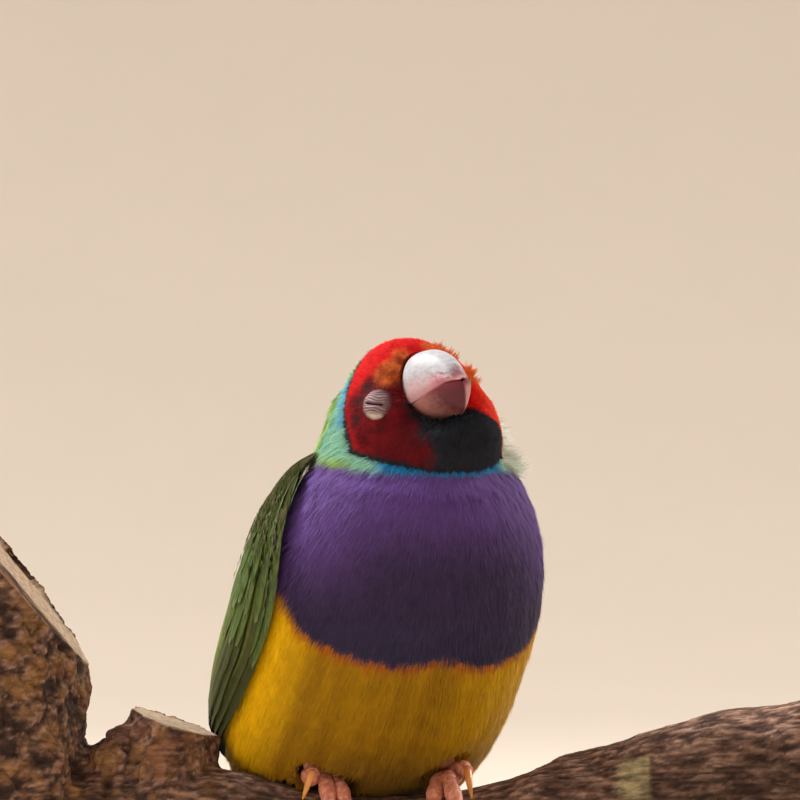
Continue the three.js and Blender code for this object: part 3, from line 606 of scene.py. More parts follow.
def billTone(points, sign):
    f, r, u = headCoords(points)
    t = (f - bill["base"]) / (bill["upper"]["tip"] - bill["base"])
    level = u - bill["at"] - billEdge(f)
    fleck = flecks(points, (1.3, 1.3, 2.6), layers=4)
    if sign > 0:
        ridge = smoothAt(bill["upper"]["ridge"], t) - billEdge(f)
        down = np.clip(1 - level / np.maximum(ridge, 0.3), 0, 1)
        line = np.exp(-((level - 3.1 - 0.25 * fleck) / 0.16) ** 2) * ease(t, 0.25, 0.4)
        colour = mix(bill["ivory"], bill["bluish"], 0.35 * ease(fleck, 0.0, 0.5) + 0.45 * line)
        colour = mix(colour, bill["lip"], 0.5 * ease(down, 0.45, 0.95) * (1 - ease(t, 0.6, 0.8)))
        colour = mix(colour, bill["lip"], 0.45 * ease(down + 0.2 * fleck, 0.35, 0.8))
        blush = ease(down + 0.3 * fleck, 0.42, 0.72) * ease(t, 0.56, 0.76)
        colour = mix(colour, bill["rose"], blush * 0.8)
        stain = ease(down + 0.25 * fleck, 0.6, 0.85) * ease(t, 0.66, 0.85)
        colour = mix(colour, bill["wine"], stain)
        colour = mix(colour, bill["wine"], ease(t + 0.04 * fleck, 0.8, 0.93) * 0.8)
        lip = np.exp(-((level - 0.42) / 0.24) ** 2) * ease(t, 0.15, 0.5)
        return mix(colour, bill["lip"], lip * 0.85)
    colour = mix(bill["flesh"], bill["ruby"], ease(t + 0.08 * fleck, 0.36, 0.8))
    colour = mix(colour, bill["wine"], 0.55 * ease(level, -1.6, 0) * ease(t, 0.4, 0.8))
    keel = (1 - ease(level, -4.2, -3.3)) * (1 - ease(t, 0.5, 0.8))
    colour = mix(colour, bill["horn"], keel * 0.85)
    # Painted light: the lower half's far side, below its edge, paler pink where it faces the light.
    return mix(colour, bill["lip"], 0.7 * ease(-r - 0.05, 0.0, 0.5) * ease(-level, 0.3, 1.2))


for sign, name in ((1, "bill_top"), (-1, "bill_under")):
    bm = bmesh.new()
    wrapGrid(bm, 100, 72, billHalf(sign))
    mesh = meshFrom(bm, name)
    paintMesh(mesh, billTone(placesOf(mesh), sign))
    putPiece(mesh, "bill", "bill_horn", ["bill_upper" if sign > 0 else "bill_lower"])
print("bill done")


# Closed eyes: a domed lid with folds round a dark slit, and the ball behind it
eye = {
    "right": {"at": (2.15, 7.35, 1.85), "out": (0.65, 0.7, 0.27), "height": 2.25},
    "left": {"at": (1.0, -6.8, 1.4), "out": (0.42, -0.85, 0.32), "height": 2.1},
    "ball": 1.75, "dome": 2.62, "flat": 0.8, "oval": 1.0, "fold": 0.38,
    "foldDepth": 0.055, "tilt": -23, "skin": tone(126, 94, 100), "crest": tone(162, 134, 142),
    "groove": tone(94, 62, 68), "slit": tone(14, 10, 14), "cream": tone(206, 186, 170),
    "border": tone(74, 30, 30),
}


def eyeFrame(side):
    given = eye["right" if side > 0 else "left"]
    centre = headPoint(*given["at"])
    f, r, u = given["out"]
    out = unit(f * headForward + r * headRight + u * headUp)
    rise = unit(headUp - out * dots(headUp, out))
    turn = side * math.radians(eye["tilt"])
    rise = rise * math.cos(turn) + np.cross(out, rise) * math.sin(turn)
    return centre, out, rise, np.cross(rise, out)


# The dark slit, the folds that run round it, and the rim where feathers begin
def lidShape(x, y):
    wobble = waves(np.stack([x, y, np.zeros(len(x))], -1), (1.1, 1.6, 1), (0, 0, 3.7))
    above = y + 0.25 - 0.05 * x * x
    slit = np.exp(-(above / (0.13 + 0.06 * wobble)) ** 2) * (1 - ease(np.abs(x + 0.1), 1.1, 1.5))
    arc = np.where(above > 0, above - 0.08 * x * x, above + 0.1 * x * x)
    folds = np.cos(2 * np.pi * (arc / eye["fold"] + 0.5 * wobble)) * ease(np.abs(arc), 0.1, 0.3)
    rim = ease(np.hypot(x / eye["oval"], y * 0.93) + 0.12 * wobble, 1.75, 2.15)
    return slit, folds * (1 - rim), rim, wobble


for side, name in ((1, "right"), (-1, "left")):
    centre, out, rise, across = eyeFrame(side)

    def lidPlace(turn, reach):
        angle = turn * 2 * np.pi
        tilt = reach * 1.15
        x = np.sin(tilt) * np.cos(angle) * eye["dome"]
        y = np.sin(tilt) * np.sin(angle) * eye["dome"]
        slit, folds, rim, wobble = lidShape(x * eye["oval"], y)
        z = eye[name]["height"] - (1 - np.cos(tilt)) * eye["dome"] * eye["flat"] - 0.3 * rim
        z = z - 0.42 * slit + eye["foldDepth"] * folds
        return centre + (x * eye["oval"])[:, None] * across + y[:, None] * rise + z[:, None] * out

    bm = bmesh.new()
    wrapGrid(bm, 120, 60, lidPlace)
    mesh = meshFrom(bm, "lid_" + name, closed=False)
    away = placesOf(mesh) - centre
    x, y = dots(away, across), dots(away, rise)
    slit, folds, rim, wobble = lidShape(x, y)
    # Painted light and shade on the folds: lighter on their crests, darker in their grooves.
    colour = mix(eye["skin"], eye["crest"], ease(folds, 0.1, 0.9) * 0.9)
    colour = mix(colour, eye["groove"], ease(-folds, 0.1, 0.9) * 0.75)
    colour = mix(colour, eye["cream"], ease(-y, 1.2, 1.8) * 0.85)
    colour = mix(colour, eye["border"], ease(y + 0.5 * wobble, 1.1, 2.0) * 0.7)
    colour = mix(colour, eye["border"], ease(x + 0.6 * wobble, 0.9, 1.9) * 0.5)
    colour = mix(colour, eye["slit"], ease(slit, 0.2, 0.6))
    paintMesh(mesh, mix(colour, eye["border"], rim * 0.9))
    facing = sum(face.normal.dot(Vector(out)) * face.area for face in mesh.polygons)
    if facing < 0:
        mesh.flip_normals()
    putPiece(mesh, "lid", "eyelid", ["eye_" + name])

    bm = bmesh.new()
    bmesh.ops.create_uvsphere(bm, u_segments=32, v_segments=20, radius=eye["ball"] * mm)
    bmesh.ops.translate(bm, vec=Vector(centre * mm), verts=bm.verts)
    putPiece(meshFrom(bm, "eyeball_" + name), "eye", "eyelid")
print("eyes done")


# The branch
perch = {
    "left": -57.5, "right": 60.0,
    "top": [4.0, 4.5, 4.6, 3.2, 0.2, -0.8, 0.2, 3.9, 7.5, 10.6, 13.2],
    "radius": [13.5, 12.5, 10.8, 9.3, 8.5, 8.2, 8.3, 8.5, 8.8, 9.2, 9.7],
    "forward": [1.0, 0.8, 0.6, 0.3, 0.0, 0.0, 0.0, 0.3, 0.8, 1.2, 1.5],
    "cuts": [(-34.7, 11.1, -18, 0.07, -32.0), (-41.4, 18.0, -50, 0.1, -55.5)],
    # lumps that the photo shows on it: place from the bird's perch, and half sizes
    "lumps": [((-36.4, -1, 4.8), (3.4, 5.6, 4.0)), ((-38.9, -1, 4.2), (2.6, 5.0, 2.6)),
              ((43.4, -1, 8.3), (1.5, 1.2, 0.9)), ((51.6, -1, 10.2), (0.9, 0.9, 0.6)),
              ((-48.0, -8, 3.0), (5.0, 4.0, 6.0))],
    "voxel": 0.4, "newTilt": 0.035, "holeAt": (-38.2, 1.3), "lichenAt": (31.6, 36.4),
    "dark": tone(48, 35, 30), "bark": tone(104, 78, 66), "light": tone(182, 146, 126),
    "sawn": tone(196, 172, 148), "ring": tone(150, 120, 98), "lichen": tone(172, 158, 118),
    "ochre": tone(146, 104, 62), "rust": tone(112, 66, 46),
}


def branchAt(x):
    t = (x - perch["left"]) / (perch["right"] - perch["left"])
    radius = smoothAt(perch["radius"], t)
    return radius, smoothAt(perch["top"], t) - radius, smoothAt(perch["forward"], t)


def branchPoint(x, angle, h=0.0):
    radius, u, y = branchAt(x)
    ahead = branchAt(x + 0.5)
    lean = (ahead[1] - u) / 0.5
    calm = np.clip((np.abs(x) - 15) / 10, 0.12, 1)
    ripple = (np.sin(0.31 * x + 2.0 * np.sin(angle)) * 0.35
              + np.sin(0.17 * x - 3 * angle + 1.3) * 0.32
              + np.sin(0.53 * x + 2 * angle) * 0.22)
    reach = radius + ripple * calm + h
    up = reach * np.cos(angle)
    norm = np.hypot(1, lean)
    place = np.stack([x - up * lean / norm, y - reach * np.sin(angle), u + up / norm], -1)
    return perchSpot + place


def branchTone(points, grain, coarse, rough, sawn, core, hole):
    x, y, z = points[:, 0], points[:, 1], points[:, 2] - bird["perchTop"]
    # The bark's grain: partly its own tone, partly painted highlight on the raised ridges and
    # painted shade in the furrows, as the same noise raises the surface.
    colour = mix(perch["bark"], perch["light"], ease(grain, 0.0, 0.55) * 0.6)
    colour = mix(colour, perch["dark"], ease(-grain, 0.0, 0.5) * 0.8)
    stump = ease(-x, 20, 30)
    colour = mix(colour, perch["ochre"], stump * ease(rough, -0.1, 0.5) * 0.7)
    colour = mix(colour, perch["rust"], stump * ease(coarse, 0.0, 0.5) * 0.5)
    # Darker in the hollows of the relief, most on the stump: partly its own dark patches, partly
    # painted shade.
    toneMask = ease(-rough - 0.4 * coarse, 0.05, 0.45) * (0.25 + 0.6 * stump)
    colour = mix(colour, perch["dark"], toneMask)
    low, high = perch["lichenAt"]
    patch = ease(x + 0.5 * rough, low, low + 1.2) * (1 - ease(x, high, high + 0.35))
    patch = patch * (1 - ease(z + coarse, 3.6, 5.0)) * ease(-y, 3, 6)
    colour = mix(colour, perch["lichen"], patch * (0.35 + 0.5 * ease(grain, -0.3, 0.3)))
    # Painted shade in the hole.
    colour = mix(colour, perch["dark"], hole)
    rings = (0.5 + 0.5 * np.sin(core * 5.5 + 0.8 * coarse)) * 0.3
    wood = mix(perch["sawn"], perch["ring"], rings)
    wood = mix(wood, perch["ring"], ease(-grain, 0.15, 0.6) * 0.6)
    return mix(colour, wood, sawn)


mesh = softCopy("branch", ["perch_branch"], 0.0, perch["voxel"], 2, perch["lumps"])
points, normals = placesOf(mesh), readVerts(mesh, "normal")
sawn, core, raised = np.zeros(len(points)), np.zeros(len(points)), np.zeros((len(points), 3))
for x, u, slope, toFront, heart in perch["cuts"]:
    a = math.radians(slope)
    normal = unit(np.array([-math.sin(a), -toFront, math.cos(a)]))
    height = dots(points - perchSpot - np.array([x, 0, u]), normal)
    fromHeart = points - perchSpot - np.array([heart, 0, u])
    radius = np.linalg.norm(np.cross(fromHeart, normal), axis=-1)
    facing = ease(dots(normals, normal), 0.75, 0.95)
    here = (1 - ease(np.abs(height), 0.25, 0.6)) * (1 - ease(radius, 17, 20)) * facing
    raised += (here * (perch["newTilt"] - toFront) * points[:, 1])[:, None] * normal
    sawn = np.maximum(sawn, here)
    core = np.where(here > 0.05, radius, core)
for x in (perch["left"], perch["right"]):
    here = (1 - ease(np.abs(points[:, 0] - x), 0.25, 0.6)) * ease(np.abs(normals[:, 0]), 0.75, 0.95)
    radius, u, y = branchAt(np.full(len(points), x))
    sawn = np.maximum(sawn, here)
    fromHeart = np.hypot(points[:, 1] - y, points[:, 2] - bird["perchTop"] - u)
    core = np.where(here > 0.05, fromHeart, core)
coarse = waves(points, (0.07, 0.2, 0.2))
grain = flecks(points, (0.28, 1.5, 1.5), 0.8, 2.1, 5)
rough = flecks(points, 0.3, 0.75, 2.2, 5)
crack = waves(points, (0.45, 0.45, 0.3), (7, 0, 0))
holeX, holeU = perch["holeAt"]
hole = np.exp(-((points[:, 0] - holeX) / 0.8) ** 2
              - ((points[:, 2] - bird["perchTop"] - holeU) / 1.3) ** 2) * ease(-points[:, 1], 3, 6)
held = np.clip((np.abs(points[:, 0]) - 13) / 8, 0.15, 1)
stump = ease(-points[:, 0], 22, 30)
cracked = (1 - ease(np.abs(crack), 0.0, 0.16)) * stump
shift = (0.45 * coarse + 0.16 * grain + (0.3 * rough - 0.3 * cracked) * stump) * held - 1.1 * hole
shift = np.where(sawn > 0.05, shift * (1 - sawn) + 0.05 * grain * sawn, shift) - 0.3
points = points + normals * shift[:, None] + raised
putPlaces(mesh, points)
lit = 0.55 + 0.65 * ease(normals[:, 2], -0.2, 0.95)
toneMask = np.where(points[:, 0] < -40, ease(points[:, 1] + rough, -5, -3), 1)
colours = branchTone(points, grain, coarse, rough, sawn * toneMask, core, hole)
colours = colours * np.where(points[:, 0] > 8, lit, 1)[:, None]
# Painted shade in the stump's cracks.
paintMesh(mesh, mix(colours, perch["dark"], 0.5 * cracked * (1 - sawn)))
putPiece(mesh, "bark", "bark", ["perch_branch"])
print("branch done")


# The feet: scaled toes that hold the branch, their claws and the shanks
feet = {
    "toeRadius": [1.2, 1.2, 1.12, 1.0], "clawRadius": [0.62, 0.54, 0.36, 0.1],
    "padHeight": 1.3, "padSize": (1.9, 1.7, 1.25), "shankFrom": 2.6, "shankLong": 10.5,
    "shankRadius": [1.25, 0.95, 1.35], "shankBack": 2.2, "shankInward": 0.8,
    "skin": tone(206, 124, 98), "groove": tone(138, 70, 54), "scale": tone(236, 184, 160),
    "clawRoot": tone(226, 150, 84), "clawTip": tone(206, 140, 50),
}
footLines = {
    "right": {"pad": (-9.6, -2), "bulbs": [(-11.8, 24, 2.5, 1.45)], "toes": [
        ([(-10.4, 3, 0.8), (-12.1, 17, 2.6), (-11.6, 30, 2.2)], (-12.6, 46, 0.6)),
        ([(-10.4, 4, 0.3), (-9.3, 26, 0.9), (-8.0, 56, 0.1)], (-7.3, 92, 0.1)),
        ([(-9.6, 6, 0.1), (-7.4, 26, 0.6), (-5.5, 50, 0.1)], (-4.5, 84, 0.1)),
        ([(-9.6, -6, 0.2), (-9.7, -34, 0.3), (-9.8, -58, 0.1)], (-9.9, -92, 0.1))]},
    "left": {"pad": (10.0, -4), "bulbs": [], "toes": [
        ([(9.4, 0, 0.1), (7.8, 24, 0.1), (7.0, 50, 0.0)], (6.5, 82, 0.1)),
        ([(10.0, 2, 0.2), (10.2, 28, 0.6), (11.2, 62, 0.1)], (11.6, 98, 0.1)),
        ([(10.4, 0, 0.2), (12.4, 6, 1.3), (13.8, 16, 1.1)], (13.4, 40, 0.1)),
        ([(10.0, -8, 0.2), (10.1, -36, 0.3), (10.2, -60, 0.1)], (10.4, -94, 0.1))]},
}


# A tube round a line: courseAt(t, h) is the line's place at t, h above the branch
def tubeAlong(courseAt, radii, shapeAt):
    def placeAt(turn, along):
        angle = turn * 2 * np.pi
        t = np.clip(along, 0, 1)
        radius = smoothAt(radii, t)
        middle = courseAt(t, radius)
        before, after = np.clip(t - 0.02, 0, 1), np.clip(t + 0.02, 0, 1)
        way = unit(courseAt(after, radius) - courseAt(before, radius))
        rise = alongSurface(courseAt(t, radius + 1) - middle, way)
        side = np.cross(way, rise)
        ends = np.sqrt(np.clip(1 - ((2 * along - 1) ** 2) ** 8, 0, 1))
        reach = radius * ends * shapeAt(t, angle)
        out = side * np.sin(angle)[:, None] + rise * np.cos(angle)[:, None]
        return middle + out * reach[:, None]
    return placeAt


def lineCourse(line):
    line = np.array(line, float)

    def courseAt(t, h):
        x, angle, lift = (smoothAt(line[:, k], t) for k in range(3))
        return branchPoint(x, np.radians(angle), bird["gap"] + h + lift)
    return courseAt


def toeShape(t, angle):
    knuckle = 0.09 * np.cos(t * 6 * np.pi)
    scute = np.abs(np.sin(t * 11 * np.pi)) ** 0.5
    top = np.clip(np.cos(angle), 0, 1) ** 0.5
    pebble = 0.03 * np.sin(t * 60) * np.sin(angle * 9)
    return 0.97 + knuckle + top * 0.09 * (scute - 0.6) + (1 - top) * pebble


def clawShape(t, angle):
    return 1 + 0.18 * np.cos(angle) * (1 - t)


footPads = {}
for name, side in (("right", 1), ("left", -1)):
    spec = footLines[name]
    toes, claws = bmesh.new(), bmesh.new()
    courses, tips = [], []
    for line, tip in spec["toes"]:
        course = lineCourse(line)
        wrapGrid(toes, 30, 64, tubeAlong(course, feet["toeRadius"], toeShape))
        joint = lineCourse([line[-1], tip])

        def clawCourse(t, h):
            arch = 0.55 * np.sin(np.pi * np.minimum(t + 0.15, 1))
            return joint(t * 0.98, h + 0.35 * (1 - t) + arch)

        wrapGrid(claws, 18, 26, tubeAlong(clawCourse, feet["clawRadius"], clawShape))
        courses.append(course)
        tips.append(clawCourse(np.array([1.0]), np.array([0.1]))[0])
    padX, padAngle = spec["pad"][0], math.radians(spec["pad"][1])
    pad = branchPoint(padX, padAngle, bird["gap"] + feet["padHeight"])
    knobs = [(pad, feet["padSize"])]
    for x, angle, height, size in spec["bulbs"]:
        knobs.append((branchPoint(x, math.radians(angle), height), (size, size, size)))
    for middle, size in knobs:
        for vert in bmesh.ops.create_icosphere(toes, subdivisions=4, radius=1)["verts"]:
            vert.co = Vector((np.array(vert.co) * size + middle) * mm)
    base = branchPoint(padX, padAngle, bird["gap"] + feet["shankFrom"])
    ankle = (base - feet["shankBack"] * bodyForward - side * feet["shankInward"] * bodyRight
             + feet["shankLong"] * upward)
    footPads[name] = (base, ankle, courses)

    mesh = meshFrom(toes, "toes_" + name)
    fleck = flecks(placesOf(mesh), 1.7, 0.9)
    colour = mix(feet["skin"], feet["scale"], ease(fleck, 0.0, 0.6) * 0.6)
    paintMesh(mesh, mix(colour, feet["groove"], ease(-fleck, 0.0, 0.6) * 0.35))
    putPiece(mesh, "foot", "foot_skin", ["foot_" + name])

    mesh = meshFrom(claws, "claws_" + name)
    away = np.linalg.norm(placesOf(mesh)[:, None] - np.array(tips)[None], axis=-1).min(1)
    paintMesh(mesh, mix(feet["clawTip"], feet["clawRoot"], ease(away, 0.5, 4)))
    putPiece(mesh, "claw", "foot_skin")

    def shankPlace(turn, along):
        angle = turn * 2 * np.pi
        way = unit(ankle - base)
        side1 = unit(np.cross(way, bodyForward))
        side2 = np.cross(side1, way)
        ends = np.sqrt(np.clip(1 - ((2 * along - 1) ** 2) ** 12, 0, 1))
        ring = 1 + 0.06 * np.abs(np.sin(along * 13 * np.pi)) ** 0.5
        reach = smoothAt(feet["shankRadius"], along) * ends * ring * 0.97
        out = side1 * np.sin(angle)[:, None] + side2 * np.cos(angle)[:, None]
        return base + (ankle - base) * along[:, None] + out * reach[:, None]

    bm = bmesh.new()
    wrapGrid(bm, 24, 60, shankPlace)
    mesh = meshFrom(bm, "shank_" + name)
    fleck = flecks(placesOf(mesh), 1.5, 0.9)
    paintMesh(mesh, mix(feet["skin"], feet["groove"], ease(-fleck, 0.0, 0.5) * 0.6))
    putPiece(mesh, "foot", "foot_skin", ["leg_" + name])
print("feet done")


# Places along the toes' middles, in shares of each toe's length
def toeMiddles(shares):
    for base, ankle, courses in footPads.values():
        for course in courses:
            for t in shares:
                yield course(np.array([t]), np.array([1.2]))[0]


# The folded wings' layout on the trunk
wing = {
    "s": (0.11, 0.9),
    "frontEdge": {1: [97, 85, 77, 75, 80, 90, 112, 135, 152],
                  -1: [96, 101, 103, 104, 108, 118, 130, 142, 154]},
    "backEdge": [128, 150, 158, 160, 162, 165, 168, 170],
    "rise": 1.25, "tuck": 0.55, "gather": 0.86,
}


def wingEdges(along, side):
    return smoothAt(wing["frontEdge"][side], along), smoothAt(wing["backEdge"], along)


# From the trunk's s to the share of the wing's length there, and back
def alongWing(s):
    return (s - wing["s"][0]) / (wing["s"][1] - wing["s"][0])


def wingS(along):
    return wing["s"][0] + (wing["s"][1] - wing["s"][0]) * along


# How far the wing stands out there: most along its middle, least at its front edge
def wingRise(s, degrees, side):
    along = alongWing(s)
    low, high = wingEdges(along, side)
    over = (degrees - low) / (high - low)
    full = wing["rise"] * np.sin(np.pi * np.clip(along * 0.9 + 0.1, 0, 1))
    return full * ease(over, 0.02, 0.3) - wing["tuck"] * (1 - ease(over, -0.02, 0.16))


# Where a place of the trunk lies on the wing of its side: along it and across it
def onWing(s, angle):
    along = alongWing(s)
    edges = zip(wingEdges(along, 1), wingEdges(along, -1))
    low, high = (np.where(angle > 0, right, left) for right, left in edges)
    return along, (np.abs(angle) - low) / (high - low)


# The skin under the feathers: one body from the head to the tail coverts
skin = {"grow": 0.25, "voxel": 0.5, "smooth": 12, "headReach": 13, "headInset": 0.22,
        "bodyInset": 0.3, "chinAt": (8.6, -2.4, -4.0), "chinFull": 1.0, "toeInset": 1.8}
mesh = softCopy("skin", ["head", "neck", "torso"], skin["grow"], skin["voxel"], skin["smooth"])
points, normals = placesOf(mesh), readVerts(mesh, "normal")
onHead = np.linalg.norm(points - headCentre, axis=-1) < skin["headReach"]
inset = skin["grow"] + np.where(onHead, skin["headInset"], skin["bodyInset"])
fromChin = np.linalg.norm(points - headPoint(*skin["chinAt"]), axis=-1)
inset = inset - skin["chinFull"] * (1 - ease(fromChin, 2.2, 5.2))
for middle in toeMiddles((0.3, 0.6, 0.9)):
    away = np.linalg.norm(points - middle, axis=-1)
    inset = np.maximum(inset, skin["toeInset"] * (1 - ease(away, 1.4, 3.6)))
points = points - normals * inset[:, None]
putPlaces(mesh, points)
paintMesh(mesh, plumageTone(points) * 0.8)
skinPiece = putPiece(mesh, "skin", "plumage_body", ["head", "neck", "torso"])
unwrap(skinPiece)
print("skin done")


# Feathers: places on the skin, and the way each lies
skinMesh = skinPiece.data
skinMesh.calc_loop_triangles()
triangleCount = len(skinMesh.loop_triangles)
cornerLoops, cornerPoints = (np.empty(triangleCount * 3, np.int32) for k in range(2))
skinMesh.loop_triangles.foreach_get("loops", cornerLoops)
skinMesh.loop_triangles.foreach_get("vertices", cornerPoints)
cornerLoops, cornerPoints = cornerLoops.reshape(-1, 3), cornerPoints.reshape(-1, 3)
skinPlaces, skinNormals = placesOf(skinMesh), readVerts(skinMesh, "normal")
skinSpots = np.empty(len(skinMesh.loops) * 2)
skinMesh.uv_layers["OFBake"].data.foreach_get("uv", skinSpots)
skinSpots = skinSpots.reshape(-1, 2)
a, b, c = (skinPlaces[cornerPoints[:, k]] for k in range(3))
triangleArea = np.linalg.norm(np.cross(b - a, c - a), axis=-1) / 2
triangleMiddle = (a + b + c) / 3


def scatter(density, rng):
    wanted = density * triangleArea
    count = np.floor(wanted + rng.random(len(wanted))).astype(int)
    pick = np.repeat(np.arange(len(wanted)), count)
    w = rng.random((len(pick), 3)) ** 0.9 + 1e-6
    w = w / w.sum(1, keepdims=True)
    points = np.einsum("nk,nkc->nc", w, skinPlaces[cornerPoints[pick]])
    normals = unit(np.einsum("nk,nkc->nc", w, skinNormals[cornerPoints[pick]]))
    spots = np.einsum("nk,nkc->nc", w, skinSpots[cornerLoops[pick]])
    return points, normals, spots


# The lie of the coat: back from the bill on the head, down from the collar, then on to the tail
def lieOf(points, normals):
    fromBill = unit(points - headPoint(9.0, 0, 0.5))
    s, angle, onward = trunkPlace(points)
    spread = 0.75 * (1 - ease(s, 0.12, 0.4)) + 0.28 * (1 - ease(s, 0.55, 0.75)) * ease(s, 0.1, 0.4)
    spread = spread * np.sin(np.radians(angle)) * (np.cos(np.radians(angle)) > 0)
    down = onward + spread[:, None] * bodyRight
    head = ease(maskDepth(points), -4.5, -0.5)
    chinDown = ease(-headCoords(points)[2], 2, 6)
    headWay = fromBill - 0.5 * chinDown[:, None] * upward
    return alongSurface(mix(unit(down), unit(headWay), head), normals)


# Tufts of tapering strands. The look's lift, and longer, may be one value per tuft.
def tufts(name, points, normals, ways, spots, colours, look, rng, longer=1.0):
    count, strands, segments = len(points), look["strands"], look["segments"]
    side = np.cross(normals, ways)
    length = look["length"] * longer * (1 + 0.22 * rng.standard_normal(count)).clip(0.5, 1.5)
    lift = np.radians(look["lift"]) * (1 + 0.35 * rng.standard_normal(count)).clip(0.2, 1.9)
    turn = np.radians(look["stray"]) * rng.standard_normal(count)
    shape = (count, strands)
    place = np.linspace(-1, 1, strands)[None] + 0.3 * rng.standard_normal(shape)
    angle = turn[:, None] + np.radians(look["fan"]) * place
    strandLength = length[:, None] * (1 - 0.22 * np.abs(place) - 0.25 * rng.random(shape))
    strandLift = lift[:, None] * (1 + 0.3 * rng.standard_normal(shape)).clip(0.2, 2)
    heading = (ways[:, None] * np.cos(angle)[..., None] + side[:, None] * np.sin(angle)[..., None])
    lateral = np.cross(heading, normals[:, None])
    roll = np.radians(look["roll"]) * rng.standard_normal(shape)
    lateral = lateral * np.cos(roll)[..., None] + normals[:, None] * np.sin(roll)[..., None]
    roots = points[:, None] + side[:, None] * (place * look["spread"])[..., None]
    roots = roots - heading * (0.15 * look["length"] * rng.random(shape))[..., None]
    shade = (1 + look["uneven"] * rng.standard_normal(count)[:, None]
             + look["uneven"] * 0.8 * rng.standard_normal(shape))
    rows, patch, tint = [], [], []
    for k in range(segments + 1):
        t = k / segments
        run = strandLength * t * np.cos(strandLift)
        rise = strandLength * (np.sin(strandLift) * t - look["curl"] * t * t)
        middle = roots + heading * run[..., None] + normals[:, None] * rise[..., None]
        half = look["width"] * (0.55 + 1.1 * t - 1.5 * t * t) if k < segments else 0
        fade = look["rootShade"] + (1 - look["rootShade"]) * t
        hue = colours[:, None] * (shade * fade)[..., None]
        for edge in ((-1, 1) if k < segments else (0,)):
            rows.append(middle + lateral * half * edge)
            tint.append(hue)
            patch.append(spots[:, None] + np.stack(
                [(place * 0.35 + edge * 0.05).clip(-0.5, 0.5) * 0.003,
                 np.full(shape, (t - 0.5) * 0.003)], -1))
    verts = len(rows)
    allPoints = np.stack(rows, 2).reshape(-1, 3)
    allTints = np.stack(tint, 2).reshape(-1, 3)
    allSpots = np.stack(patch, 2).reshape(-1, 2)
    faces = []
    for k in range(segments - 1):
        faces += [(2 * k, 2 * k + 1, 2 * k + 3), (2 * k, 2 * k + 3, 2 * k + 2)]
    faces.append((verts - 3, verts - 2, verts - 1))
    offsets = (np.arange(count * strands) * verts)[:, None, None]
    allFaces = (np.array(faces)[None] + offsets).reshape(-1, 3)
    return meshOfMany(name, allPoints, allFaces, allTints, allSpots.clip(0, 1))


# Where no feather grows: in the bill, on the lids, by the feet and in the branch
def bareAt(points, margin=0.15):
    hf, hr, hu = headCoords(points)
    bare = np.zeros(len(points), bool)
    for sign, half in ((1, bill["upper"]), (-1, bill["lower"])):
        t = (hf - bill["base"]) / (half["tip"] - bill["base"])
        if sign < 0:
            t = np.arcsin(np.clip(t, 0, 1)) / (np.pi / 2)
        level = (hu - bill["at"] - billEdge(hf)) * sign
        wide = smoothAt(half["wide"], t) + margin
        deep = (smoothAt(half["ridge"], t) - billEdge(hf)) * sign + margin
        inside = (hr / wide) ** 2 + (np.clip(level, 0, None) / deep) ** 2 < 1
        bare |= inside & (level > -0.5) & (hf > bill["base"] - 1) & (hf < half["tip"] + 0.3)
    for side in (1, -1):
        centre, out, rise, across = eyeFrame(side)
        away = points - centre
        x, y = dots(away, across), dots(away, rise)
        bare |= (x / 2.0 / eye["oval"]) ** 2 + (y / 2.2) ** 2 + (dots(away, out) < 0) * 9 < 1
    for base, ankle, courses in footPads.values():
        t = np.clip(dots(points - base, ankle - base) / np.sum((ankle - base) ** 2), 0, 1)
        bare |= np.linalg.norm(points - base - t[:, None] * (ankle - base), axis=-1) < 1.7
    for middle in toeMiddles(np.linspace(0, 1, 7)):
        bare |= np.linalg.norm(points - middle, axis=-1) < 1.9
    radius, u, y = branchAt(points[:, 0])
    inside = np.hypot(points[:, 1] - y, points[:, 2] - bird["perchTop"] - u) < radius + 0.35
    return bare | inside


# Which coat grows at places, by the zones' numbers below, and -1 where none does
def zoneOf(points):
    s, angle, onward = trunkPlace(points)
    f, r, u = bodyCoords(points)
    mask, level = maskDepth(points), collarHeight(points)
    zone = np.where(np.abs(angle) > 104, 4, np.where(u > breastLine(f, r), 2, 3))
    zone = np.where(level > 0.2, 1, zone)
    zone = np.where((mask > 0.1) & (level > 0.5), 0, zone)
    along, over = onWing(s, angle)
    under = (along > 0.03) & (along < 1) & (over > np.where(along < 0.45, 0.13, 0.05))
    under = under & (over < 0.93) & (zone >= 2)
    return np.where(under | bareAt(points, -0.15), -1, zone)


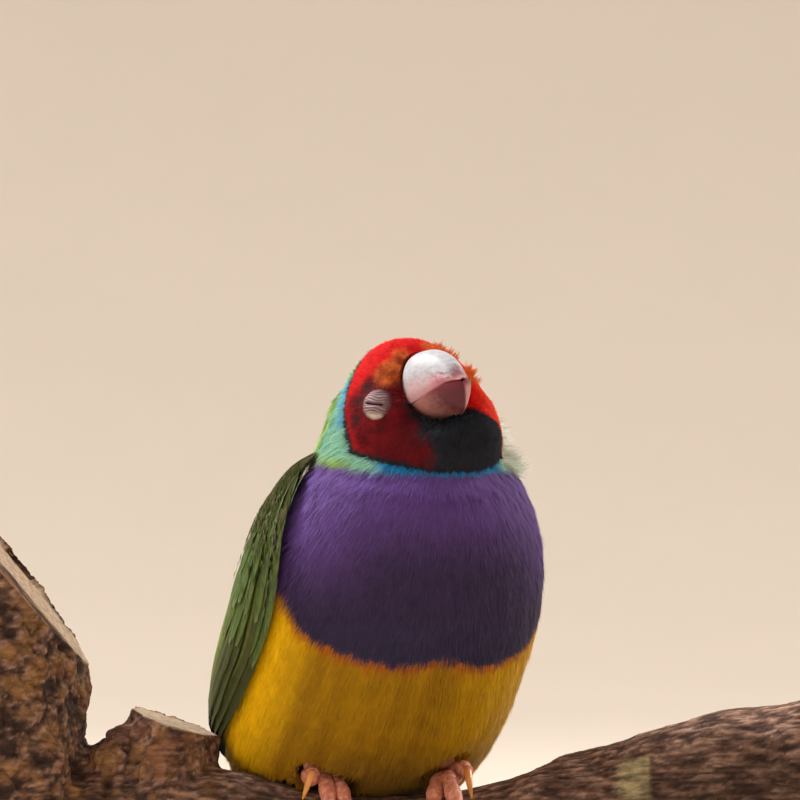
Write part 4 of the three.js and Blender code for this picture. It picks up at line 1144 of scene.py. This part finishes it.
# Each coat: tufts to a square millimetre, lengths in millimetres and angles in degrees
coat = {
    "mask": {"zone": 0, "density": 22.0, "length": 1.1, "width": 0.05, "strands": 5,
             "segments": 2, "lift": 15, "curl": 0.12, "fan": 16, "spread": 0.1, "stray": 8,
             "roll": 14, "uneven": 0.07, "patchy": 0.08, "rootShade": 0.78, "seed": 3, "parts": 2,
             "finish": "faceCoat", "slot": "plumage_head"},
    "collar": {"zone": 1, "density": 14.0, "length": 2.3, "width": 0.05, "strands": 6,
               "segments": 3, "lift": 15, "curl": 0.1, "fan": 12, "spread": 0.18, "stray": 8,
               "roll": 14, "uneven": 0.08, "patchy": 0.1, "rootShade": 0.78, "seed": 5, "parts": 1,
               "finish": "coat", "slot": "plumage_collar"},
    "breast": {"zone": 2, "density": 9.0, "length": 2.4, "width": 0.05, "strands": 7,
               "segments": 2, "lift": 7, "curl": 0.05, "fan": 8, "spread": 0.22, "stray": 5,
               "roll": 8, "uneven": 0.05, "patchy": 0.09, "rootShade": 0.9, "seed": 7, "parts": 2,
               "finish": "coat", "slot": "plumage_body"},
    "belly": {"zone": 3, "density": 6.5, "length": 3.8, "width": 0.06, "strands": 7,
              "segments": 3, "lift": 4.5, "curl": 0.03, "fan": 5, "spread": 0.3, "stray": 4,
              "roll": 6, "uneven": 0.03, "patchy": 0.03, "rootShade": 0.95, "seed": 9, "parts": 2,
              "finish": "coat", "slot": "plumage_body"},
    "back": {"zone": 4, "density": 5.0, "length": 3.6, "width": 0.08, "strands": 6,
             "segments": 3, "lift": 7, "curl": 0.05, "fan": 9, "spread": 0.36, "stray": 5,
             "roll": 8, "uneven": 0.06, "patchy": 0.08, "rootShade": 0.85, "seed": 13, "parts": 1,
             "finish": "coat", "slot": "plumage_body"},
}
coatLimit = 185000  # triangles in one piece


def fromToes(points):
    return np.min([np.linalg.norm(points - middle, axis=-1)
                   for middle in toeMiddles((0.0, 0.35, 0.7, 1.0))], axis=0)


triangleZone = zoneOf(triangleMiddle)
for name, look in coat.items():
    density = np.where(triangleZone == look["zone"], look["density"] / look["parts"], 0)
    planned = float((density * triangleArea).sum()) * look["strands"] * (2 * look["segments"] - 1)
    if planned > coatLimit:
        print(name, "thinned by", round(coatLimit / planned, 2))
        density = density * coatLimit / planned
    for part in range(look["parts"]):
        rng = np.random.default_rng(look["seed"] + 100 * part)
        points, normals, spots = scatter(density, rng)
        keep = ~bareAt(points, -0.15 if name == "mask" else 0.22)
        points, normals, spots = points[keep], normals[keep], spots[keep]
        ways = lieOf(points, normals)
        longer, grown = np.ones(len(points)), look
        if name == "mask":
            fromBill = np.linalg.norm(points - headPoint(6.0, 0, 1.5), axis=-1)
            fromEye = np.minimum(np.linalg.norm(points - eyeFrame(1)[0], axis=-1),
                                 np.linalg.norm(points - eyeFrame(-1)[0], axis=-1))
            grown = dict(look, lift=look["lift"] + 26 * (1 - ease(fromBill, 5.2, 7.5)))
            longer = (0.7 + 0.3 * ease(fromBill, 4.5, 9)) * (0.5 + 0.5 * ease(fromEye, 2.6, 4.5))
            longer = longer * (1 + 0.2 * (1 - ease(maskDepth(points), 0.0, 1.0)))
        if name in ("breast", "belly"):
            along, over = onWing(*trunkPlace(points)[:2])
            byWing = np.exp(-((over - 0.02) / 0.11) ** 2)
            byWing = byWing * ease(along, -0.05, 0.05) * (1 - ease(along, 0.3, 0.45))
            moreLift, moreLength = (15, 0.35) if name == "breast" else (0, -0.5)
            grown = dict(look, lift=look["lift"] + moreLift * byWing)
            longer = (1 + moreLength * byWing) * (0.4 + 0.6 * ease(fromToes(points), 2.2, 5.5))
        if name == "collar":
            f, r, u = bodyCoords(points)
            longer = 0.6 + 0.4 * ease(np.abs(r), 5, 11)
            grown = dict(look, lift=look["lift"] * (1 - 0.6 * (1 - ease(f, 0, 6))))
        colours = plumageTone(points + ways * 0.3 * look["length"])
        colours = colours * (1 + look["patchy"] * waves(points, 0.8))[:, None]
        mesh = tufts(f"coat_{name}_{part + 1}", points, normals, ways, spots, colours, grown,
                     rng, longer)
        putPiece(mesh, look["finish"], look["slot"])


# Longer feathers that stand out: at the collar's left side and by the two brows
wisps = {
    "fringe": {"where": (-0.5, -11.0, -6.6), "reach": 4.6, "count": 800, "lift": 42, "length": 3.0,
               "colour": "pale", "slot": "plumage_collar", "band": (-2.6, -0.1), "up": 0.1},
    "brow": {"where": (2.4, -5.2, 7.8), "reach": 2.0, "count": 70, "lift": 38, "length": 1.3,
             "colour": "orange", "slot": "plumage_head", "band": (0.3, 99), "up": 0.2},
    "farBrow": {"where": (4.0, -7.2, 3.6), "reach": 1.7, "count": 36, "lift": 48, "length": 1.5,
                "colour": "orange", "slot": "plumage_head", "band": (0.3, 99), "up": 0.5},
}
wispLook = {"strands": 4, "segments": 4, "width": 0.055, "curl": -0.12, "fan": 10, "spread": 0.1,
            "stray": 14, "roll": 20, "uneven": 0.08, "rootShade": 0.85}
rng = np.random.default_rng(41)
for name, wisp in wisps.items():
    points, normals, spots = scatter(np.full(triangleCount, 14.0), rng)
    away = np.linalg.norm(points - headPoint(*wisp["where"]), axis=-1)
    mask = maskDepth(points)
    low, high = wisp["band"]
    keep = (away < wisp["reach"]) & ~bareAt(points, 0.3) & (mask > low) & (mask < high)
    pick = rng.permutation(np.nonzero(keep)[0])[:wisp["count"]]
    points, normals, spots = points[pick], normals[pick], spots[pick]
    ways = alongSurface(lieOf(points, normals) + wisp["up"] * upward, normals)
    colours = np.tile(tones[wisp["colour"]], (len(points), 1))
    look = dict(wispLook, lift=wisp["lift"], length=wisp["length"])
    mesh = tufts("wisps_" + name, points, normals, ways, spots, colours, look, rng)
    putPiece(mesh, "faceCoat", wisp["slot"])
print("coat done")


# Wing and tail feathers: vanes on a course, each a small grid with a shaft and a ragged edge.
# courseAt(t, h) takes arrays of feather, row and column.
def vanes(courseAt, count, look, toneAt, rng, firstSpot):
    rows, columns = look["rows"], look["columns"]
    x = np.linspace(-1, 1, columns)[None, None, :] * np.ones((count, rows, 1))
    t = np.linspace(0, 1, rows)[None, :, None] * np.ones((count, 1, columns))
    comb = rng.random((count, 1, columns)) * look["ragged"]
    at = t * (1 - look["round"] * np.abs(x) ** 2.4 - comb)
    body = courseAt(at, 0.0)
    up = unit(courseAt(at, 1.0) - body)
    way = unit(courseAt(at + 0.01, 0.0) - courseAt(at - 0.01, 0.0))
    side = unit(np.cross(way, up))
    widening = 0.62 + 0.38 * np.sin(np.pi / 2 * np.clip(t / 0.5, 0, 1))
    closing = np.cos(np.clip((t - 0.5) / 0.5, 0, 1) * np.pi / 2 * look["taper"])
    closing = np.maximum(np.where(t < 0.5, 1, closing), 0.0) ** look["point"]
    half = look["wide"] / 2 * widening * np.maximum(closing, 0.06)
    half = half * (1 + 0.05 * rng.standard_normal((count, rows, 1)))
    shaft = look["shaft"] * np.exp(-(x / 0.09) ** 2) * (1 - 0.7 * t)
    tilt = math.tan(math.radians(look["roll"]))
    height = (shaft - look["camber"] * half * x * x + x * half * tilt
              + look["wave"] * np.sin(9 * t + 6.3 * rng.random((count, 1, 1))) * np.abs(x))
    points = body + side * (x * half)[..., None] + up * height[..., None]
    colours = toneAt(at, x, rng.random((count, 1, 1)) * np.ones_like(t))
    grid = (np.arange(rows - 1)[:, None] * columns + np.arange(columns - 1)[None]).ravel()
    quads = np.stack([grid, grid + 1, grid + columns + 1, grid + columns], -1)
    faces = (quads[None] + (np.arange(count) * rows * columns)[:, None, None]).reshape(-1, 4)
    cell = np.arange(count) + firstSpot
    spots = np.stack([(cell[:, None, None] % 12 + 0.5 + 0.4 * x) / 12,
                      (cell[:, None, None] // 12 + 0.1 + 0.8 * t) / 12], -1)
    return points.reshape(-1, 3), faces, colours.reshape(-1, 3), spots.reshape(-1, 2)


def joinVanes(name, parts, slotName, nodes):
    points, faces, colours, spots = zip(*parts)
    starts = np.cumsum([0] + [len(p) for p in points[:-1]])
    faces = [own + start for own, start in zip(faces, starts)]
    mesh = meshOfMany(name, *(np.concatenate(v) for v in (points, faces, colours, spots)))
    putPiece(mesh, "quill", slotName, nodes)


wingTones = {
    "olive": tone(96, 106, 50), "edge": tone(140, 150, 80), "dark": tone(44, 46, 30),
    "bright": tone(66, 100, 48), "paleEdge": tone(138, 152, 108), "grey": tone(84, 86, 56),
    "brown": tone(122, 118, 82), "shaft": tone(46, 44, 30),
}


def quillTone(t, x, r):
    colour = mix(wingTones["olive"], wingTones["dark"], ease(x, -0.1, 0.4) * 0.7)
    colour = mix(colour, wingTones["edge"], ease(-x, 0.62, 0.95) * 0.85)
    colour = mix(colour, wingTones["grey"], ease(t, 0.82, 1.0) * 0.5)
    return colour * (0.88 + 0.24 * r)[..., None]


def covertTone(t, x, r):
    colour = mix(wingTones["olive"], wingTones["bright"], 0.2 + 0.6 * r)
    colour = mix(wingTones["dark"], colour, 0.4 + 0.6 * ease(t, 0.35, 0.75))
    rim = np.maximum(ease(np.abs(x), 0.74, 1.0), ease(t, 0.86, 0.99))
    colour = mix(colour, wingTones["paleEdge"], rim * (0.25 + 0.45 * r))
    colour = mix(colour, wingTones["shaft"], 0.35 * np.exp(-(x / 0.06) ** 2))
    return colour * (0.9 + 0.2 * r)[..., None]


# Each row of feathers: its name and count, its roots' and tips' places along the wing and its
# place across it, at its front and its back feather, its height at root and tip, a feather's
# width, how blunt it is, how far it bows across, its rows of points, how much higher each feather
# lies than the one before, and how much later the row's two ends begin
rowLabels = ("name", "count", "root", "tip", "over", "low", "high", "wide", "point", "bow", "rows",
             "step", "arch")
wingRows = [dict(zip(rowLabels, row)) for row in (
    ("primaries", 8, (0.26, 0.34), (1.0, 0.86), (0.03, 0.4),
     0.6, 0.75, 3.4, 0.8, -1.5, 26, 0.07, 0),
    ("secondaries", 17, (0.24, 0.3), (0.9, 0.8), (0.02, 0.86),
     1.0, 1.1, 3.3, 0.55, -1, 22, 0.03, 0),
    ("tertials", 3, (0.24, 0.28), (0.72, 0.62), (0.8, 0.96),
     1.2, 1.4, 6.0, 0.55, 0, 20, 0.1, 0),
    ("greater", 15, (0.2, 0.22), (0.44, 0.47), (0.0, 0.92),
     1.1, 1.3, 2.6, 0.3, 0, 12, 0.015, 0),
    ("median", 15, (0.14, 0.16), (0.345, 0.37), (0.0, 0.92),
     1.2, 1.4, 2.4, 0.3, 0, 10, 0.012, 0),
    ("lesser1", 13, (0.08, 0.1), (0.265, 0.285), (-0.01, 0.92),
     1.25, 1.5, 2.3, 0.3, 0, 9, 0.012, 0),
    ("lesser2", 11, (0.02, 0.04), (0.19, 0.21), (-0.01, 0.92),
     1.2, 1.55, 2.3, 0.3, 0, 9, 0.012, 0),
    ("lesser3", 9, (-0.05, -0.03), (0.12, 0.14), (0.0, 0.92),
     0.8, 1.5, 2.2, 0.3, 0, 9, 0.012, 0.06),
    ("lesser4", 8, (-0.06, -0.04), (0.05, 0.07), (0.04, 0.9),
     0.3, 1.3, 2.2, 0.3, 0, 9, 0.012, 0.08),
)]
quillLook = {"columns": 13, "round": 0.05, "ragged": 0.015, "taper": 0.97, "shaft": 0.1,
             "camber": 0.07, "roll": 4, "wave": 0.03, "toneAt": quillTone}
covertLook = {"columns": 15, "round": 0.3, "ragged": 0.09, "taper": 0.72, "shaft": 0.03,
              "camber": 0.12, "roll": 2.5, "wave": 0.03, "toneAt": covertTone}
for name, side in (("right", 1), ("left", -1)):
    rng = np.random.default_rng(21 if side > 0 else 22)
    parts, cell = [], 0
    for row in wingRows:
        count = row["count"]
        k = np.linspace(0, 1, count)
        over, root, tip = (row[end][0] + (row[end][1] - row[end][0]) * k
                           for end in ("over", "root", "tip"))
        over = over + 0.012 * rng.standard_normal(count)
        root = root + row["arch"] * (2 * k - 1) ** 2
        tip = tip + 0.006 * rng.standard_normal(count)
        overRoot = 0.5 + (over - 0.5) * wing["gather"]
        lowest, highest = (row[end] + bird["gap"] + row["step"] * np.arange(count)
                           for end in ("low", "high"))
        spans = [(start[:, None, None], end[:, None, None]) for start, end in
                 ((root, tip), (overRoot, over), (lowest, highest))]

        def courseAt(t, h):
            along, across, height = (start + (end - start) * t for start, end in spans)
            low, high = wingEdges(along, side)
            s = wingS(along)
            angle = low + (high - low) * across + row["bow"] * np.sin(np.pi * t)
            height = height + wingRise(s, angle, side) + h
            return trunkPoint(s, side * np.radians(angle), height)

        quill = row["name"] in ("primaries", "secondaries", "tertials")
        look = dict(quillLook if quill else covertLook, **{
            label: row[label] for label in ("rows", "wide", "point")})
        look["roll"] = side * look["roll"]

        def sidedTone(t, x, r):
            return look["toneAt"](t, -x * side, r)

        parts.append(vanes(courseAt, count, look, sidedTone, rng, cell))
        cell += count
    joinVanes("feathers_" + name, parts, "plumage_wing", ["wing_" + name])

    # the wing's own flesh and down under the feathers
    def underPlace(across, along):
        along = np.clip(along, 0, 1) * 0.5
        s = wingS(along)
        rounding = np.sin(np.pi * np.clip(0.12 + along * 1.9, 0, 0.5)) ** 0.6
        low, high = wingEdges(along, side)
        middle, half = (low + high) / 2, (high - low) / 2 * rounding * 0.93
        turn = across * 2 * np.pi
        angle = middle + half * np.cos(turn)
        height = 0.42 + 0.4 * np.sin(turn) + 0.55 * wingRise(s, angle, side)
        return trunkPoint(s, side * np.radians(angle), height)

    bm = bmesh.new()
    wrapGrid(bm, 48, 40, underPlace)
    mesh = meshFrom(bm, "wingbed_" + name)
    paintMesh(mesh, np.tile(wingTones["dark"], (len(mesh.vertices), 1)))
    putPiece(mesh, "skin", "plumage_wing")


# Places for feathers on the trunk at a height above it, the normals there and the way on
def layOnTrunk(s, angle, height):
    points = trunkPoint(s, angle, height)
    normals = unit(trunkPoint(s, angle, height + 1) - points)
    ways = unit(trunkPoint(s + 0.02, angle, height) - points)
    return points, normals, alongSurface(ways, normals)


# Short hair-like feathers on the wings' shoulders, over the small coverts
shoulder = {"count": 3600, "from": -0.1, "to": 0.3, "strands": 5, "segments": 2, "length": 1.5,
            "width": 0.055, "lift": 6, "curl": 0.05, "fan": 12, "spread": 0.14, "stray": 9,
            "roll": 12, "uneven": 0.12, "rootShade": 0.8, "seed": 23}
for name, side in (("right", 1), ("left", -1)):
    rng = np.random.default_rng(shoulder["seed"] + side)
    span = shoulder["to"] - shoulder["from"]
    along = shoulder["from"] + span * rng.random(shoulder["count"]) ** 1.7
    across = -0.03 + 0.96 * rng.random(shoulder["count"])
    keep = rng.random(len(along)) < 1 - 0.95 * ease(along, 0.1, 0.3)
    along, across = along[keep], across[keep]
    along = along + 0.12 * (2 * across - 1) ** 2 * (1 - ease(along, -0.1, 0.15))
    low, high = wingEdges(along, side)
    degrees = low + (high - low) * across
    s = wingS(along)
    height = bird["gap"] + 1.55 * ease(along, -0.12, 0.05) + 0.25 + wingRise(s, degrees, side)
    points, normals, ways = layOnTrunk(s, side * np.radians(degrees), height)
    colours = mix(wingTones["olive"], wingTones["brown"], ease(waves(points, 0.7), -0.3, 0.4))
    colours = mix(colours, wingTones["bright"], 0.6 * ease(along, 0.1, 0.32))
    spots = np.stack([(across * 0.9 + 0.05) * 0.5 + (0.5 if side > 0 else 0.0),
                      0.05 + 0.9 * (along - shoulder["from"]) / span], -1)
    mesh = tufts("coat_shoulder_" + name, points, normals, ways, spots, colours, shoulder, rng)
    putPiece(mesh, "faceCoat", "plumage_wing")
print("wings done")


# The tail
tail = {
    "lengths": [50, 41, 37, 35, 32, 29], "wide": 5.4, "slope": 0.62, "root": 1.2, "from": 0.89,
    "black": tone(24, 24, 28), "sheen": tone(40, 42, 54), "blue": tone(120, 178, 206),
}
tailWay = (-math.sin(tail["slope"]), -math.cos(tail["slope"]))
tailBack = (tailWay[1], -tailWay[0])
startF, startU, _ = trunkFrame(np.array(tail["from"]))


def tailPoint(along, across, up):
    return bodyPoint(startF + tailWay[0] * along + tailBack[0] * up, across,
                     startU + tailWay[1] * along + tailBack[1] * up)


def tailTone(t, x, r):
    colour = mix(tail["black"], tail["sheen"], 0.4 * r + 0.5 * ease(np.abs(x), 0.7, 1))
    return mix(colour, tail["blue"], (1 - ease(t, 0.02, 0.2)) * 0.5)


rng = np.random.default_rng(31)
parts = []
for pair, length in enumerate(tail["lengths"]):
    for side in (-1, 1):
        def courseAt(t, h):
            along = tail["root"] + length * t
            fan = 0.35 + (0.8 + 0.62 * pair) * np.clip(t, 0, 1) ** 0.8
            layer = 1.2 - 0.42 * pair + (0.12 if side > 0 else 0)
            return tailPoint(along, side * fan, layer * (1 - 0.25 * t) + h)

        look = {"rows": 26, "columns": 11, "wide": tail["wide"] * (0.8 if pair == 0 else 1),
                "round": 0.03, "ragged": 0.01, "taper": 0.98, "point": 1.5 if pair == 0 else 0.6,
                "shaft": 0.2, "camber": 0.08, "roll": side * 3, "wave": 0.03}
        parts.append(vanes(courseAt, 1, look, tailTone, rng, len(parts)))
joinVanes("tail_feathers", parts, "plumage_tail", ["tail"])

# The coverts that cover the tail's root, blue above and whitish below
look = {"count": 2600, "from": 0.74, "span": 0.25, "depth": -0.3, "strands": 6, "segments": 3,
        "length": 6.0, "width": 0.12, "lift": 6, "curl": 0.04, "fan": 8, "spread": 0.5,
        "stray": 6, "roll": 10, "uneven": 0.08, "rootShade": 0.85}
rng = np.random.default_rng(33)
s = look["from"] + look["span"] * rng.random(look["count"])
angle = rng.random(look["count"]) * 2 * np.pi
points, normals, ways = layOnTrunk(s, angle, look["depth"])
upper = ease(-np.cos(angle), -0.35, 0.1)
colours = mix(tones["vent"], tones["rump"], upper)
spots = np.stack([angle / (2 * np.pi) * 0.98 + 0.01, s], -1)
mesh = tufts("coat_tailroot", points, normals, ways, spots, colours, look, rng)
putPiece(mesh, "coat", "plumage_tail")


def rootPlace(across, along):
    s = 0.8 + 0.2 * along
    ends = np.sqrt(np.clip(1 - ((2 * along - 1) ** 2) ** 6, 0, 1))
    h = -0.7 - (1 - ends) * 3.2
    return trunkPoint(s, across * 2 * np.pi, h)


bm = bmesh.new()
wrapGrid(bm, 40, 24, rootPlace)
mesh = meshFrom(bm, "tailbed")
points = placesOf(mesh)
s, angle, onward = trunkPlace(points)
paintMesh(mesh, mix(tones["vent"], tones["rump"], ease(np.abs(angle), 80, 110)))
putPiece(mesh, "skin", "plumage_tail")
print("tail done")

# The stand's solids are right as they are, and get their finishes
finishes = {"stand_base": "baseWood", "stand_rod_1": "steel", "stand_rod_2": "steel"}
for node, finish in finishes.items():
    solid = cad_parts[node]
    solid.data.materials.clear()
    solid.data.materials.append(materials[finish])

# The room: a pale floor that curves up into a round wall, open above
room = {"floor": 1.5, "wall": 2.6, "height": 3.4, "bends": 12, "sides": 96}
bm = bmesh.new()
profile = [(0.0, 0.0), (room["floor"], 0.0)]
for k in range(1, room["bends"] + 1):
    a = k / room["bends"] * math.pi / 2
    reach = room["wall"] - room["floor"]
    profile.append((room["floor"] + reach * math.sin(a), reach * (1 - math.cos(a))))
profile.append((room["wall"], room["height"]))
verts = [bm.verts.new((x, 0, z)) for x, z in profile]
edges = [bm.edges.new(pair) for pair in zip(verts, verts[1:])]
bmesh.ops.spin(bm, geom=verts + edges, cent=(0, 0, 0), axis=(0, 0, 1), angle=2 * math.pi,
               steps=room["sides"], use_merge=True)
bmesh.ops.remove_doubles(bm, verts=bm.verts, dist=1e-5)
bmesh.ops.recalc_face_normals(bm, faces=bm.faces)
bmesh.ops.reverse_faces(bm, faces=bm.faces)
putPiece(meshFrom(bm, "room", closed=False), "floor")

# Light
world = bpy.data.worlds.new("world")
world.use_nodes = True
sky = world.node_tree.nodes["Background"].inputs
sky["Color"].default_value = (0.97, 0.99, 1.0, 1)
sky["Strength"].default_value = 0.42
scene.world = world
lamps = [
    ("backLeft", (-1.0, 0.5, 1.5), 0.8, 42, (1.0, 0.99, 0.97)),
    ("backRight", (1.2, 0.7, 0.9), 0.6, 16, (1.0, 0.96, 0.9)),
    ("frontFill", (-1.5, -1.0, 1.1), 0.9, 6, (0.98, 0.98, 1.0)),
]
for name, at, size, energy, colour in lamps:
    lamp = bpy.data.lights.new(name, "AREA")
    lamp.size, lamp.energy, lamp.color = size, energy, colour
    holder = bpy.data.objects.new(name, lamp)
    holder.location = at
    holder.rotation_euler = (Vector((0, 0, 0.1)) - Vector(at)).to_track_quat("-Z", "Y").to_euler()
    holder.visible_camera = False
    scene.collection.objects.link(holder)

print("scene done")
